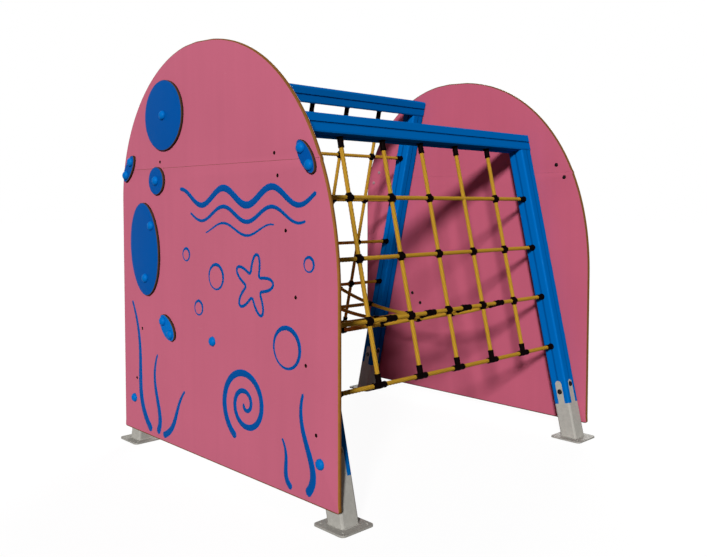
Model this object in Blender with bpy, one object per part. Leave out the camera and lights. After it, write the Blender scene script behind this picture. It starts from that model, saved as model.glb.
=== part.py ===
"""A playground climbing frame with two arched end panels, leaning posts, beams and three rope nets.

The origin lies on the ground in the middle of the frame and +Z is up. The front panel faces -Y and
the rear panel faces +Y. The right side, at +X, has the lower beam and the left side the higher one.
Each side is built upright and then leans inwards: its posts, beam and net share one leaning plane.
The third net hangs as a bridge between the two side nets.
"""
import math
from collections import namedtuple

import bmesh
import bpy
from mathutils import Matrix, Vector

# Gap left between faces that touch
FIT = 0.0003

# Square section of the posts and beams, with one groove along the middle of each side
SECTION = 0.100
SECTION_CORNER = 0.010
GROOVE_WIDTH = 0.008
GROOVE_DEPTH = 0.006

# Layout of the bay between the two panels
BAY_DEPTH = 2.004
LEAN = math.radians(13.0)
FOOT_SPREAD = 0.876
RIGHT_BEAM_HEIGHT = 1.770
LEFT_BEAM_HEIGHT = 2.074

# Galvanised feet: a base plate, a leaning tube and four fingers let into the post
PLATE_SIZE = 0.192
PLATE_THICKNESS = 0.009
PLATE_CORNER = 0.020
PLATE_HOLE_SPACING = 0.142
PLATE_HOLE_RADIUS = 0.007
FOOT_LENGTH = 0.209
FINGER_LENGTH = 0.135
FINGER_WIDTH = 0.042
FINGER_THICKNESS = 0.0045
FINGER_INSET = 0.0002
FINGER_EMBED = 0.006
FOOT_BOLT_RADIUS = 0.012
FOOT_BOLT_HEAD = 0.005
END_BOLT_RISE = 0.070
SIDE_BOLT_RISE = 0.109

# Arched panels, each made of a lower and an upper board
BOARD_THICKNESS = 0.019
PANEL_HALF_WIDTH = 0.930
PANEL_BOTTOM = 0.083
PANEL_TOP = 2.218
CROWN_OFFSET = -0.138
LEFT_SHOULDER = 1.416
LEFT_FULLNESS = 1.98
RIGHT_SHOULDER = 0.967
RIGHT_FULLNESS = 2.17
BOARD_CORNER = 0.012
BOARD_EDGE_ROUND = 0.004
SEAM_HEIGHT = 1.589
SEAM_GAP = 0.0008

# Bolts that hold the panels to the posts, at heights above the ground
RAIL_FIXING_HEIGHT = 0.392
RAIL_FIXING_COUNT = 4
RAIL_TO_SEAM_FIXING = 0.247
SEAM_FIXING_BELOW = 0.068
SEAM_FIXING_ABOVE = 0.034
SPACER_LENGTH = 0.009
SPACER_RADIUS = 0.012
SPACER_EMBED = 0.001
SHANK_RADIUS = 0.004
SHANK_HOLE_RADIUS = 0.005
HEAD_RADIUS = 0.008
HEAD_HEIGHT = 0.006
COUNTERBORE_RADIUS = 0.009
COUNTERBORE_DEPTH = 0.009
NUT_RADIUS = 0.0085
NUT_HEIGHT = 0.007

# Domed caps over bolt heads
CAP_RADIUS = 0.025
CAP_HEIGHT = 0.020
CAP_POCKET_RADIUS = 0.010
CAP_POCKET_DEPTH = 0.008

# Raised spots, ovals and joining strips on the outer faces
SPOT_THICKNESS = 0.015
SPOT_EDGE_ROUND = 0.003
LARGE_SPOT_RADIUS = 0.188
SMALL_SPOT_RADIUS = 0.076
SPOT_SPACING = 0.085
LARGE_OVAL_END_MARGIN = 0.114
LARGE_OVAL_WIDTH = 0.302
LARGE_OVAL_TILT = math.radians(96.0)
LARGE_OVAL_SHIFT = (-0.045, 0.015)
SMALL_OVAL_LENGTH = 0.174
SMALL_OVAL_WIDTH = 0.102
SMALL_OVAL_TILT = math.radians(139.0)
SMALL_OVAL_PLACE = (-0.426, 0.724)
SMALL_OVAL_BOLT_SPACING = 0.100
STRIP_LENGTH = 0.176
STRIP_WIDTH = 0.078
STRIP_INSET = 0.079
STRIP_RISE = 0.008
STRIP_BOLT_SPACING = 0.094
RIGHT_STRIP_TILT = math.radians(-54.0)
LEFT_STRIP_TILT = math.radians(53.0)
MIDDLE_CAP_PLACE = (-0.004, 0.702)

# Rope nets
ROPE_RADIUS = 0.0116
NET_COLUMNS = 5
LOWEST_ROPE_HEIGHT = 0.552
ROPE_ROW_PITCH = 0.3037
BRIDGE_ROW = 1
CROSS_RADIUS = 0.0162
CROSS_REACH = 0.0225
TEE_RADIUS = 0.015
TEE_ROW_REACH = 0.042
TEE_UPRIGHT_REACH = 0.054
BRIDGE_TEE_ROW_REACH = 0.037
BRIDGE_TEE_ARM = 0.065
END_FITTING_LENGTH = 0.050
BRIDGE_END_SLOPE = math.radians(19.3)
BRIDGE_SPAN_STEPS = 2

# Numbers of straight sides that stand for round ones
HEAD_SIDES = 8
SHANK_SIDES = 6
CAP_SIDES = 10
ROPE_SIDES = 6
LARGE_SPOT_SIDES = 26
SMALL_OVAL_SIDES = 16
ARCH_STEPS = 18

# Sizes worked out from the ones above
POST_Y = BAY_DEPTH / 2 - SPACER_LENGTH - SECTION / 2
POST_INNER_FACE = POST_Y - SECTION / 2
COLUMN_PITCH = 2 * POST_INNER_FACE / (NET_COLUMNS + 1)
FINGER_TOP = FOOT_LENGTH + FINGER_LENGTH
FOOT_FIXING_HEIGHT = (FOOT_LENGTH + END_BOLT_RISE) * math.cos(LEAN)

# Heights of the panels' bolts: evenly spaced rails, then one bolt on each side of the seam
SEAM_FIXING_HEIGHT = SEAM_HEIGHT - SEAM_FIXING_BELOW
TOP_RAIL_HEIGHT = SEAM_FIXING_HEIGHT - RAIL_TO_SEAM_FIXING
RAIL_FIXING_PITCH = (TOP_RAIL_HEIGHT - RAIL_FIXING_HEIGHT) / (RAIL_FIXING_COUNT - 1)

# The small spot lies over the bolt below the seam and the large spot's bolt sets its middle above it
TOP_FIXING_HEIGHT = SEAM_FIXING_HEIGHT + SMALL_SPOT_RADIUS + SPOT_SPACING + LARGE_SPOT_RADIUS
LARGE_OVAL_LENGTH = RAIL_FIXING_PITCH + 2 * LARGE_OVAL_END_MARGIN

# Depths in a panel, measured outwards from the inner face of its boards
COUNTERBORE_FLOOR = BOARD_THICKNESS - COUNTERBORE_DEPTH
SPOT_SEAT = BOARD_THICKNESS + FIT
SPOT_FACE = SPOT_SEAT + SPOT_THICKNESS

# A side of the frame: which way round it stands, how high its beam is and whether spots cover bolts
Side = namedtuple("Side", "name turn beam_height spotted")
RIGHT = Side("right", 0.0, RIGHT_BEAM_HEIGHT, False)
LEFT = Side("left", math.pi, LEFT_BEAM_HEIGHT, True)

# A bolt between a post and its panel: its height and whether a spot and a cap lie over it
Fixing = namedtuple("Fixing", "height under_spot")

# An end of the frame and the way that its panel faces along Y
End = namedtuple("End", "name facing")
FRONT = End("front", -1)
REAR = End("rear", 1)

# A domed cap: its name, its place, the depth of the face it sits on and whether it hides a post's bolt
Cap = namedtuple("Cap", "name place seat over_post_bolt")

# A raised spot: the ellipse that is its outline and the caps of the bolts that hold it
Spot = namedtuple("Spot", "name place length width tilt sides caps")


def clear_scene():
    """Start from an empty scene."""
    for item in list(bpy.data.objects):
        bpy.data.objects.remove(item)


def material(name, colour, roughness, metallic=0.0):
    """A plain Principled material."""
    made = bpy.data.materials.new(name)
    made.use_nodes = True
    shader = made.node_tree.nodes["Principled BSDF"]
    shader.inputs["Base Color"].default_value = (*colour, 1.0)
    shader.inputs["Roughness"].default_value = roughness
    shader.inputs["Metallic"].default_value = metallic
    made.diffuse_color = (*colour, 1.0)
    return made


def empty(name, location=(0, 0, 0), rotation=(0, 0, 0), parent=None):
    """An empty that carries a group of pieces."""
    made = bpy.data.objects.new(name, None)
    bpy.context.scene.collection.objects.link(made)
    made.parent = parent
    made.location = location
    made.rotation_euler = rotation
    return made


def solid(name, bm, finish, parent, location=(0, 0, 0)):
    """Turn a closed bmesh into a named object with its faces pointing out."""
    bmesh.ops.recalc_face_normals(bm, faces=bm.faces)
    mesh = bpy.data.meshes.new(name)
    bm.to_mesh(mesh)
    bm.free()
    if finish:
        mesh.materials.append(finish)
    mesh.shade_smooth()
    mesh.set_sharp_from_angle(angle=math.radians(40))
    made = bpy.data.objects.new(name, mesh)
    bpy.context.scene.collection.objects.link(made)
    made.parent = parent
    made.location = location
    return made


def combine(target, tool, operation):
    """Cut or join a target with a tool, which stays in the file as a wire guide."""
    tool.hide_render = True
    tool.display_type = "WIRE"
    modifier = target.modifiers.new(tool.name, "BOOLEAN")
    modifier.operation = operation
    modifier.object = tool


def ring(bm, centre, across, normal, radius, sides):
    """A polygon of vertices round a centre, from the across axis towards the normal."""
    made = []
    for index in range(sides):
        angle = 2 * math.pi * index / sides
        offset = math.cos(angle) * Vector(across) + math.sin(angle) * Vector(normal)
        made.append(bm.verts.new(Vector(centre) + radius * offset))
    return made


def stitch(bm, first, second):
    """Join two rings that turn the same way with faces, whatever their numbers of vertices."""
    start = min(range(len(second)), key=lambda index: (second[index].co - first[0].co).length)
    second = second[start:] + second[:start]
    if len(first) == len(second):
        for index in range(len(first)):
            after = (index + 1) % len(first)
            bm.faces.new((first[index], first[after], second[after], second[index]))
        return
    done_first = 0
    done_second = 0
    while done_first < len(first) or done_second < len(second):
        here = first[done_first % len(first)]
        there = second[done_second % len(second)]
        if (done_first + 0.5) / len(first) < (done_second + 0.5) / len(second):
            done_first += 1
            bm.faces.new((here, first[done_first % len(first)], there))
        else:
            done_second += 1
            bm.faces.new((here, second[done_second % len(second)], there))


def turned(bm, origin, outward, radial, profile):
    """Turn a profile of (radius, distance along the axis, sides) into a closed solid."""
    outward = Vector(outward)
    radial = Vector(radial)
    other = outward.cross(radial)
    rings = []
    for radius, distance, sides in profile:
        rings.append(ring(bm, Vector(origin) + distance * outward, radial, other, radius, sides))
    for first, second in zip(rings, rings[1:]):
        stitch(bm, first, second)
    bm.faces.new(rings[0])
    bm.faces.new(rings[-1])


def loft(bm, low, high):
    """Join two closed outlines with the same number of 3-D points into a closed solid."""
    base = [bm.verts.new(point) for point in low]
    top = [bm.verts.new(point) for point in high]
    for index in range(len(base)):
        after = (index + 1) % len(base)
        bm.faces.new((base[index], base[after], top[after], top[index]))
    bm.faces.new(base)
    bm.faces.new(top)


def prism(bm, outline, depth):
    """Extrude a closed outline of 3-D points by the vector depth."""
    loft(bm, outline, [Vector(point) + Vector(depth) for point in outline])


def arc(centre, radius, start, end, steps):
    """Points on a circular arc, both ends included."""
    points = []
    for index in range(steps + 1):
        angle = start + (end - start) * index / steps
        points.append((centre[0] + radius * math.cos(angle), centre[1] + radius * math.sin(angle)))
    return points


def square_outline(size, corner, steps):
    """A square with round corners, as points in its own plane."""
    inner = size / 2 - corner
    points = []
    for side in range(4):
        turn = Matrix.Rotation(side * math.pi / 2, 2)
        points += [turn @ Vector(point) for point in arc((inner, inner), corner, 0, math.pi / 2, steps)]
    return points


def grooved_outline():
    """The square section of posts and beams with a groove in the middle of each side."""
    half = SECTION / 2
    points = []
    for side in range(4):
        turn = Matrix.Rotation(side * math.pi / 2, 2)
        local = [(half, -GROOVE_WIDTH / 2), (half - GROOVE_DEPTH, -GROOVE_WIDTH / 2)]
        local += [(half - GROOVE_DEPTH, GROOVE_WIDTH / 2), (half, GROOVE_WIDTH / 2)]
        local += arc((half - SECTION_CORNER, half - SECTION_CORNER), SECTION_CORNER, 0, math.pi / 2, 2)
        points += [turn @ Vector(point) for point in local]
    return points


def beam_line(side):
    """Distance along the leaning plane from the ground to the middle of the side's beam."""
    return side.beam_height / math.cos(LEAN)


def post_line(height):
    """Distance of the posts' middle line from the middle of the frame at a height."""
    return FOOT_SPREAD - height * math.tan(LEAN)


def across(side):
    """Sign of the side's place along X."""
    return math.cos(side.turn)


def rail_heights():
    """Heights of the evenly spaced bolts below the seam."""
    return [RAIL_FIXING_HEIGHT + index * RAIL_FIXING_PITCH for index in range(RAIL_FIXING_COUNT)]


def fixings(side):
    """The bolts between a post of this side and its panel, above the one that the foot carries."""
    rails = rail_heights()
    made = [Fixing(height, False) for height in rails[:-2] + [SEAM_HEIGHT + SEAM_FIXING_ABOVE]]
    made += [Fixing(height, side.spotted) for height in rails[-2:] + [SEAM_FIXING_HEIGHT]]
    if side.spotted:
        made.append(Fixing(TOP_FIXING_HEIGHT, True))
    return [fixing for fixing in made if reaches(side, fixing.height)]


def reaches(side, height):
    """Whether the side's post still stands behind a bolt at this height."""
    return height / math.cos(LEAN) < beam_line(side) - SECTION / 2 - 2 * SPACER_RADIUS


def bolt_profile(cover, root):
    """A spacer, a shank through the boards and a head that lies over a thickness called cover."""
    seat = SPACER_LENGTH + cover + FIT
    return [
        (SPACER_RADIUS, root, SHANK_SIDES),
        (SPACER_RADIUS, SPACER_LENGTH - FIT, SHANK_SIDES),
        (SHANK_RADIUS, SPACER_LENGTH - FIT, SHANK_SIDES),
        (SHANK_RADIUS, seat, SHANK_SIDES),
        (HEAD_RADIUS, seat, HEAD_SIDES),
        (HEAD_RADIUS, seat + HEAD_HEIGHT, HEAD_SIDES),
    ]


def finger_outline(grow):
    """Outline of a foot's finger as (across, along) points, made larger all round by grow."""
    half = FINGER_WIDTH / 2 + grow
    low = FOOT_LENGTH - FINGER_EMBED - grow
    centre = FINGER_TOP - FINGER_WIDTH / 2
    return [(-half, low), (half, low)] + arc((0, centre), half, 0, math.pi, 6)


def add_fingers(bm, grow, outer):
    """The four fingers of a foot, from their inner faces out to the distance called outer."""
    inner = SECTION / 2 - FINGER_INSET - FINGER_THICKNESS - grow
    for side in range(4):
        turn = Matrix.Rotation(side * math.pi / 2, 3, "Z")
        outline = [turn @ Vector((inner, width, length)) for width, length in finger_outline(grow)]
        prism(bm, outline, turn @ Vector((outer - inner, 0, 0)))


def build_post(end, side, leaning, finish):
    """A grooved post with recesses for the foot's fingers and the spacers and bolts of its panel."""
    name = f"{end.name}_{side.name}_post"
    outward = end.facing * across(side)
    place = (0, outward * POST_Y, 0)
    low = FOOT_LENGTH + FIT
    high = beam_line(side) - SECTION / 2 - FIT
    bm = bmesh.new()
    prism(bm, [(*point, low) for point in grooved_outline()], (0, 0, high - low))
    post = solid(name, bm, finish, leaning, place)

    bm = bmesh.new()
    add_fingers(bm, FIT, SECTION)
    combine(post, solid(name + "_finger_recesses", bm, None, leaning, place), "DIFFERENCE")

    bm = bmesh.new()
    for fixing in fixings(side):
        origin = (0, outward * SECTION / 2, fixing.height / math.cos(LEAN))
        cover = SPOT_FACE if fixing.under_spot else COUNTERBORE_FLOOR
        turned(bm, origin, (0, outward, 0), (0, 0, 1), bolt_profile(cover, -SPACER_EMBED))
    combine(post, solid(name + "_bolts", bm, None, leaning, place), "UNION")


def build_beam(side, leaning, finish):
    """The beam that lies on the two posts of a side, rolled with their lean."""
    length = 2 * (POST_Y + SECTION / 2)
    bm = bmesh.new()
    prism(bm, [(x, -length / 2, z) for x, z in grooved_outline()], (0, length, 0))
    solid(side.name + "_beam", bm, finish, leaning, (0, 0, beam_line(side)))


def build_foot(end, side, standing, finish):
    """A base plate with a leaning tube whose four fingers reach up into the post."""
    name = f"{end.name}_{side.name}_foot"
    outward = end.facing * across(side)
    place = (0, outward * POST_Y, 0)
    lean = Matrix.Rotation(-LEAN, 3, "Y")

    bm = bmesh.new()
    top = []
    bottom = []
    for point in square_outline(SECTION, SECTION_CORNER, 2):
        in_the_plate = (PLATE_THICKNESS / 2 - point[0] * math.sin(LEAN)) / math.cos(LEAN)
        top.append(lean @ Vector((*point, FOOT_LENGTH)))
        bottom.append(lean @ Vector((*point, in_the_plate)))
    loft(bm, bottom, top)
    foot = solid(name, bm, finish, standing, place)

    bm = bmesh.new()
    add_fingers(bm, 0, SECTION / 2 - FINGER_INSET)
    bm.transform(lean.to_4x4())
    prism(bm, [(*point, 0) for point in square_outline(PLATE_SIZE, PLATE_CORNER, 4)], (0, 0, PLATE_THICKNESS))
    combine(foot, solid(name + "_plate_and_fingers", bm, None, standing, place), "UNION")

    bm = bmesh.new()
    end_bolt = FOOT_LENGTH + END_BOLT_RISE
    side_bolt = FOOT_LENGTH + SIDE_BOLT_RISE
    face = SECTION / 2
    root = -FINGER_THICKNESS / 2
    head = [(FOOT_BOLT_RADIUS, root, HEAD_SIDES), (FOOT_BOLT_RADIUS, FOOT_BOLT_HEAD, HEAD_SIDES)]
    turned(bm, (0, -outward * face, end_bolt), (0, -outward, 0), (0, 0, 1), head)
    turned(bm, (face, 0, side_bolt), (1, 0, 0), (0, 0, 1), head)
    turned(bm, (-face, 0, side_bolt), (-1, 0, 0), (0, 0, 1), head)
    stud = bolt_profile(BOARD_THICKNESS, root)
    turned(bm, (0, outward * face, end_bolt), (0, outward, 0), (0, 0, 1), stud)
    bm.transform(lean.to_4x4())
    combine(foot, solid(name + "_bolts", bm, None, standing, place), "UNION")

    bm = bmesh.new()
    hole = [(PLATE_HOLE_RADIUS, way * 2 * PLATE_THICKNESS, HEAD_SIDES) for way in (-1, 1)]
    for x in (-PLATE_HOLE_SPACING / 2, PLATE_HOLE_SPACING / 2):
        for y in (-PLATE_HOLE_SPACING / 2, PLATE_HOLE_SPACING / 2):
            turned(bm, (x, y, 0), (0, 0, 1), (1, 0, 0), hole)
    combine(foot, solid(name + "_anchor_holes", bm, None, standing, place), "DIFFERENCE")


def arch_reach(edge, shoulder, fullness, height):
    """Place along X of the arch's outline at a height, on the side that has this edge.

    The side is straight up to its shoulder. Above it, the outline is a quarter of a superellipse
    that ends level at the crown.
    """
    share = max(height - shoulder, 0) / (PANEL_TOP - shoulder)
    return CROWN_OFFSET + (edge - CROWN_OFFSET) * max(1 - share ** fullness, 0) ** (1 / fullness)


def arch_side(edge, shoulder, fullness, low, high):
    """Outline of one side of the arch from the height low up to the height high."""
    first = (arch_reach(edge, shoulder, fullness, low), low)
    last = (arch_reach(edge, shoulder, fullness, high), high)
    between = []
    for index in range(ARCH_STEPS):
        angle = index / ARCH_STEPS * math.pi / 2
        height = shoulder + (PANEL_TOP - shoulder) * math.sin(angle) ** (2 / fullness)
        point = (arch_reach(edge, shoulder, fullness, height), height)
        clear = min(math.dist(point, first), math.dist(point, last)) > 2 * BOARD_EDGE_ROUND
        if low < height < high and clear:
            between.append(point)
    return [first] + between + [last]


def board_outline(low, high):
    """Outline of the part of the arched panel that lies between two heights."""
    right = arch_side(PANEL_HALF_WIDTH, RIGHT_SHOULDER, RIGHT_FULLNESS, low, high)
    left = arch_side(-PANEL_HALF_WIDTH, LEFT_SHOULDER, LEFT_FULLNESS, low, high)
    if low == PANEL_BOTTOM:
        inner = PANEL_HALF_WIDTH - BOARD_CORNER
        above = PANEL_BOTTOM + BOARD_CORNER
        right[:1] = arc((inner, above), BOARD_CORNER, -math.pi / 2, 0, 3)
        left[:1] = arc((-inner, above), BOARD_CORNER, -math.pi / 2, -math.pi, 3)
    if high == PANEL_TOP:
        left.pop()
    return right + left[::-1]


def ellipse_outline(place, length, width, tilt, sides):
    """An ellipse with its length turned by tilt from the horizontal."""
    points = []
    for index in range(sides):
        angle = 2 * math.pi * index / sides
        local = Vector((length / 2 * math.cos(angle), width / 2 * math.sin(angle)))
        points.append(Matrix.Rotation(tilt, 2) @ local + Vector(place))
    return points


def plate(name, outline, depths, end, finish, is_rounded, edge_radius, steps):
    """A flat piece of a panel between two depths, with a bevel on its rounded long edges.

    is_rounded tells from an edge's depth and its two heights whether the bevel rounds it.
    """
    inner, outer = depths
    bm = bmesh.new()
    prism(bm, [(x, end.facing * inner, z) for x, z in outline], (0, end.facing * (outer - inner), 0))
    weight = bm.edges.layers.float.new("bevel_weight_edge")
    for edge in bm.edges:
        first, second = edge.verts
        along_the_outline = math.isclose(first.co.y, second.co.y, abs_tol=FIT)
        if along_the_outline and is_rounded(abs(first.co.y), (first.co.z, second.co.z)):
            edge[weight] = 1.0
    made = solid(name, bm, finish, None, (0, end.facing * BAY_DEPTH / 2, 0))
    bevel = made.modifiers.new("rounded_edges", "BEVEL")
    bevel.limit_method = "WEIGHT"
    bevel.width = edge_radius
    bevel.segments = steps
    return made


def drill(target, holes, end):
    """Cut bolt holes given as (place, profile) through a board or a spot."""
    bm = bmesh.new()
    for (x, z), profile in holes:
        turned(bm, (x, 0, z), (0, end.facing, 0), (0, 0, 1), profile)
    cutter = solid(target.name + "_holes", bm, None, None, target.location)
    combine(target, cutter, "DIFFERENCE")


def plain_hole():
    """Profile of a hole that goes through the boards and the spots."""
    return [(SHANK_HOLE_RADIUS, depth, SHANK_SIDES) for depth in (-SPACER_LENGTH, 2 * SPOT_FACE)]


def sunk_hole():
    """Profile of a hole through a board with a counterbore for the bolt's head."""
    return [
        (SHANK_HOLE_RADIUS, -SPACER_LENGTH, SHANK_SIDES),
        (SHANK_HOLE_RADIUS, COUNTERBORE_FLOOR, SHANK_SIDES),
        (COUNTERBORE_RADIUS, COUNTERBORE_FLOOR, HEAD_SIDES),
        (COUNTERBORE_RADIUS, 2 * BOARD_THICKNESS, HEAD_SIDES),
    ]


def left_post_place(height):
    """Point on the left post's middle line, as seen from the front."""
    return -post_line(height), height


def post_cap(name, height):
    """A cap on a spot over the left post, hollow where the post's bolt is under it."""
    return Cap(name, left_post_place(height), SPOT_FACE, reaches(LEFT, height))


def round_spot(name, height, radius, sides):
    """A round spot on the left post's middle line."""
    size = 2 * radius
    return Spot(name, left_post_place(height), size, size, 0, sides, [post_cap(name + "_cap", height)])


def bolted_spot(name, place, length, width, tilt, spacing):
    """A small oval spot that holds by its own two bolts."""
    rise = spacing / 2 * abs(math.sin(tilt))
    run = spacing / 2 * math.cos(tilt) * math.copysign(1, math.sin(tilt))
    caps = [
        Cap(name + "_upper_cap", (place[0] + run, place[1] + rise), SPOT_FACE, False),
        Cap(name + "_lower_cap", (place[0] - run, place[1] - rise), SPOT_FACE, False),
    ]
    return Spot(name, place, length, width, tilt, SMALL_OVAL_SIDES, caps)


def joining_strip(name, edge, shoulder, fullness, tilt):
    """An oval strip across the seam near the arch's edge on one side."""
    height = SEAM_HEIGHT + STRIP_RISE
    inwards = -math.copysign(STRIP_INSET, edge)
    place = (arch_reach(edge, shoulder, fullness, height) + inwards, height)
    return bolted_spot(name, place, STRIP_LENGTH, STRIP_WIDTH, tilt, STRIP_BOLT_SPACING)


def large_oval():
    """The large oval spot over two of the left post's bolts."""
    low, high = rail_heights()[-2:]
    middle = left_post_place((low + high) / 2)
    place = (middle[0] + LARGE_OVAL_SHIFT[0], middle[1] + LARGE_OVAL_SHIFT[1])
    caps = [post_cap("large_oval_upper_cap", high), post_cap("large_oval_lower_cap", low)]
    return Spot(
        "large_oval", place, LARGE_OVAL_LENGTH, LARGE_OVAL_WIDTH, LARGE_OVAL_TILT, LARGE_SPOT_SIDES, caps
    )


def small_oval():
    """The small oval spot low on the panel."""
    return bolted_spot(
        "small_oval",
        SMALL_OVAL_PLACE,
        SMALL_OVAL_LENGTH,
        SMALL_OVAL_WIDTH,
        SMALL_OVAL_TILT,
        SMALL_OVAL_BOLT_SPACING,
    )


def spots():
    """The raised pieces on a panel's outer face with their caps."""
    return [
        round_spot("large_spot", TOP_FIXING_HEIGHT, LARGE_SPOT_RADIUS, LARGE_SPOT_SIDES),
        round_spot("small_spot", SEAM_FIXING_HEIGHT, SMALL_SPOT_RADIUS, SMALL_OVAL_SIDES),
        large_oval(),
        small_oval(),
        joining_strip("right_strip", PANEL_HALF_WIDTH, RIGHT_SHOULDER, RIGHT_FULLNESS, RIGHT_STRIP_TILT),
        joining_strip("left_strip", -PANEL_HALF_WIDTH, LEFT_SHOULDER, LEFT_FULLNESS, LEFT_STRIP_TILT),
    ]


def board_caps():
    """The caps that sit on the boards themselves."""
    foot_place = post_line(FOOT_FIXING_HEIGHT)
    return [
        Cap("left_foot_cap", (-foot_place, FOOT_FIXING_HEIGHT), BOARD_THICKNESS, True),
        Cap("right_foot_cap", (foot_place, FOOT_FIXING_HEIGHT), BOARD_THICKNESS, True),
        Cap("middle_cap", MIDDLE_CAP_PLACE, BOARD_THICKNESS, False),
    ]


def build_cap(end, cap, finish):
    """A domed cap that hides a post's bolt in its pocket, or carries its own bolt with a nut inside."""
    seat = cap.seat + FIT
    dome = []
    for angle in (0, math.radians(40), math.radians(72)):
        dome.append((CAP_RADIUS * math.cos(angle), seat + CAP_HEIGHT * math.sin(angle), CAP_SIDES))
    if cap.over_post_bolt:
        inside = [(CAP_POCKET_RADIUS, seat + depth, HEAD_SIDES) for depth in (CAP_POCKET_DEPTH, 0)]
    else:
        inside = [(NUT_RADIUS, -FIT - NUT_HEIGHT, SHANK_SIDES), (NUT_RADIUS, -FIT, SHANK_SIDES)]
        inside += [(SHANK_RADIUS, -FIT, SHANK_SIDES), (SHANK_RADIUS, seat, SHANK_SIDES)]
    bm = bmesh.new()
    place = (cap.place[0], 0, cap.place[1])
    turned(bm, place, (0, end.facing, 0), (0, 0, 1), inside + dome)
    solid(f"{end.name}_{cap.name}", bm, finish, None, (0, end.facing * BAY_DEPTH / 2, 0))


def build_panel(end, finishes):
    """The two boards of a panel, its raised spots and all the caps on it."""
    pieces = spots()
    caps = board_caps() + [cap for spot in pieces for cap in spot.caps]
    holes = [(cap.place, plain_hole()) for cap in caps]
    for side in (RIGHT, LEFT):
        for fixing in fixings(side):
            if not fixing.under_spot:
                holes.append(((across(side) * post_line(fixing.height), fixing.height), sunk_hole()))

    def off_the_seam(depth, heights):
        return max(abs(height - SEAM_HEIGHT) for height in heights) > SEAM_GAP

    def on_the_outer_face(depth, heights):
        return depth > SPOT_SEAT + SPOT_THICKNESS / 2

    for part, low, high in (
        ("lower_board", PANEL_BOTTOM, SEAM_HEIGHT - SEAM_GAP / 2),
        ("upper_board", SEAM_HEIGHT + SEAM_GAP / 2, PANEL_TOP),
    ):
        name = f"{end.name}_{part}"
        depths = (0, BOARD_THICKNESS)
        outline = board_outline(low, high)
        board = plate(name, outline, depths, end, finishes["board"], off_the_seam, BOARD_EDGE_ROUND, 2)
        drill(board, [hole for hole in holes if low < hole[0][1] < high], end)

    for spot in pieces:
        name = f"{end.name}_{spot.name}"
        depths = (SPOT_SEAT, SPOT_FACE)
        outline = ellipse_outline(spot.place, spot.length, spot.width, spot.tilt, spot.sides)
        made = plate(name, outline, depths, end, finishes["spot"], on_the_outer_face, SPOT_EDGE_ROUND, 1)
        drill(made, [(cap.place, plain_hole()) for cap in spot.caps], end)
    for cap in caps:
        build_cap(end, cap, finishes["cap"])


def connector(bm, centre, axes, radius, arms, rope_axes=None):
    """A moulded connector where ropes cross or end, its arms meeting in a mitred middle.

    arms maps the direction of each arm along the two axes, such as (1, 0), to its length. Directions
    with no arm are closed. rope_axes are the axes of the rings of ropes along the first axis, where
    they aren't the connector's own. The result maps each direction to the ring at its arm's tip.
    """
    centre = Vector(centre)
    first_axis, second_axis = axes
    normal = first_axis.cross(second_axis)
    rise = radius * math.sqrt(3) / 2
    corners = {}
    flats = {}
    for first in (1, -1):
        for second in (1, -1):
            diagonal = first * first_axis + second * second_axis
            corners[first, second] = bm.verts.new(centre + radius * diagonal)
            for up in (1, -1):
                place = centre + radius / 2 * diagonal + up * rise * normal
                flats[first, second, up] = bm.verts.new(place)
    for up in (1, -1):
        bm.faces.new([flats[first, second, up] for first, second in ((1, 1), (-1, 1), (-1, -1), (1, -1))])
    tips = {}
    for first, second in ((1, 0), (-1, 0), (0, 1), (0, -1)):
        if first:
            lateral = second_axis
            near, far = (first, 1), (first, -1)
        else:
            lateral = first_axis
            near, far = (1, second), (-1, second)
        mouth = [corners[near], flats[(*near, 1)], flats[(*far, 1)]]
        mouth += [corners[far], flats[(*far, -1)], flats[(*near, -1)]]
        if (first, second) not in arms:
            bm.faces.new(mouth)
            continue
        tip = centre + arms[first, second] * (first * first_axis + second * second_axis)
        ring_axes = rope_axes if first and rope_axes else (lateral, normal)
        tips[first, second] = sleeve_end(bm, mouth, tip, radius, (lateral, normal), ring_axes)
    return tips


def sleeve_end(bm, mouth, tip, radius, axes, ring_axes):
    """Carry a connector's arm to its tip and narrow it there to the rope's ring, which is returned.

    A cross is short, so its arms taper straight from the middle to the rope.
    """
    before = mouth
    if radius < CROSS_RADIUS:
        before = ring(bm, tip, *axes, radius, ROPE_SIDES)
        stitch(bm, mouth, before)
    rope = ring(bm, tip, *ring_axes, ROPE_RADIUS, ROPE_SIDES)
    stitch(bm, before, rope)
    return rope


def end_fitting(bm, face, inward, lateral, normal, length):
    """The sleeve that holds a rope's end against a post or a beam, with the rope's ring at its tip."""
    seat = Vector(face) + FIT * Vector(inward)
    tip = Vector(face) + length * Vector(inward)
    base = ring(bm, seat, lateral, normal, TEE_RADIUS, ROPE_SIDES)
    mouth = ring(bm, tip, lateral, normal, TEE_RADIUS, ROPE_SIDES)
    rope = ring(bm, tip, lateral, normal, ROPE_RADIUS, ROPE_SIDES)
    bm.faces.new(base)
    stitch(bm, base, mouth)
    stitch(bm, mouth, rope)
    return rope


def column_places():
    """Places along Y of the upright ropes of a side net."""
    middle = (NET_COLUMNS - 1) / 2
    return [(index - middle) * COLUMN_PITCH for index in range(NET_COLUMNS)]


def bridge_places():
    """Places along Y of the bridge's cross ropes, halfway between the upright ropes."""
    columns = column_places()
    return [(first + second) / 2 for first, second in zip(columns, columns[1:])]


def arms_of(length, *directions):
    """Arms of one length in the given directions of a connector."""
    return {direction: length for direction in directions}


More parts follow.
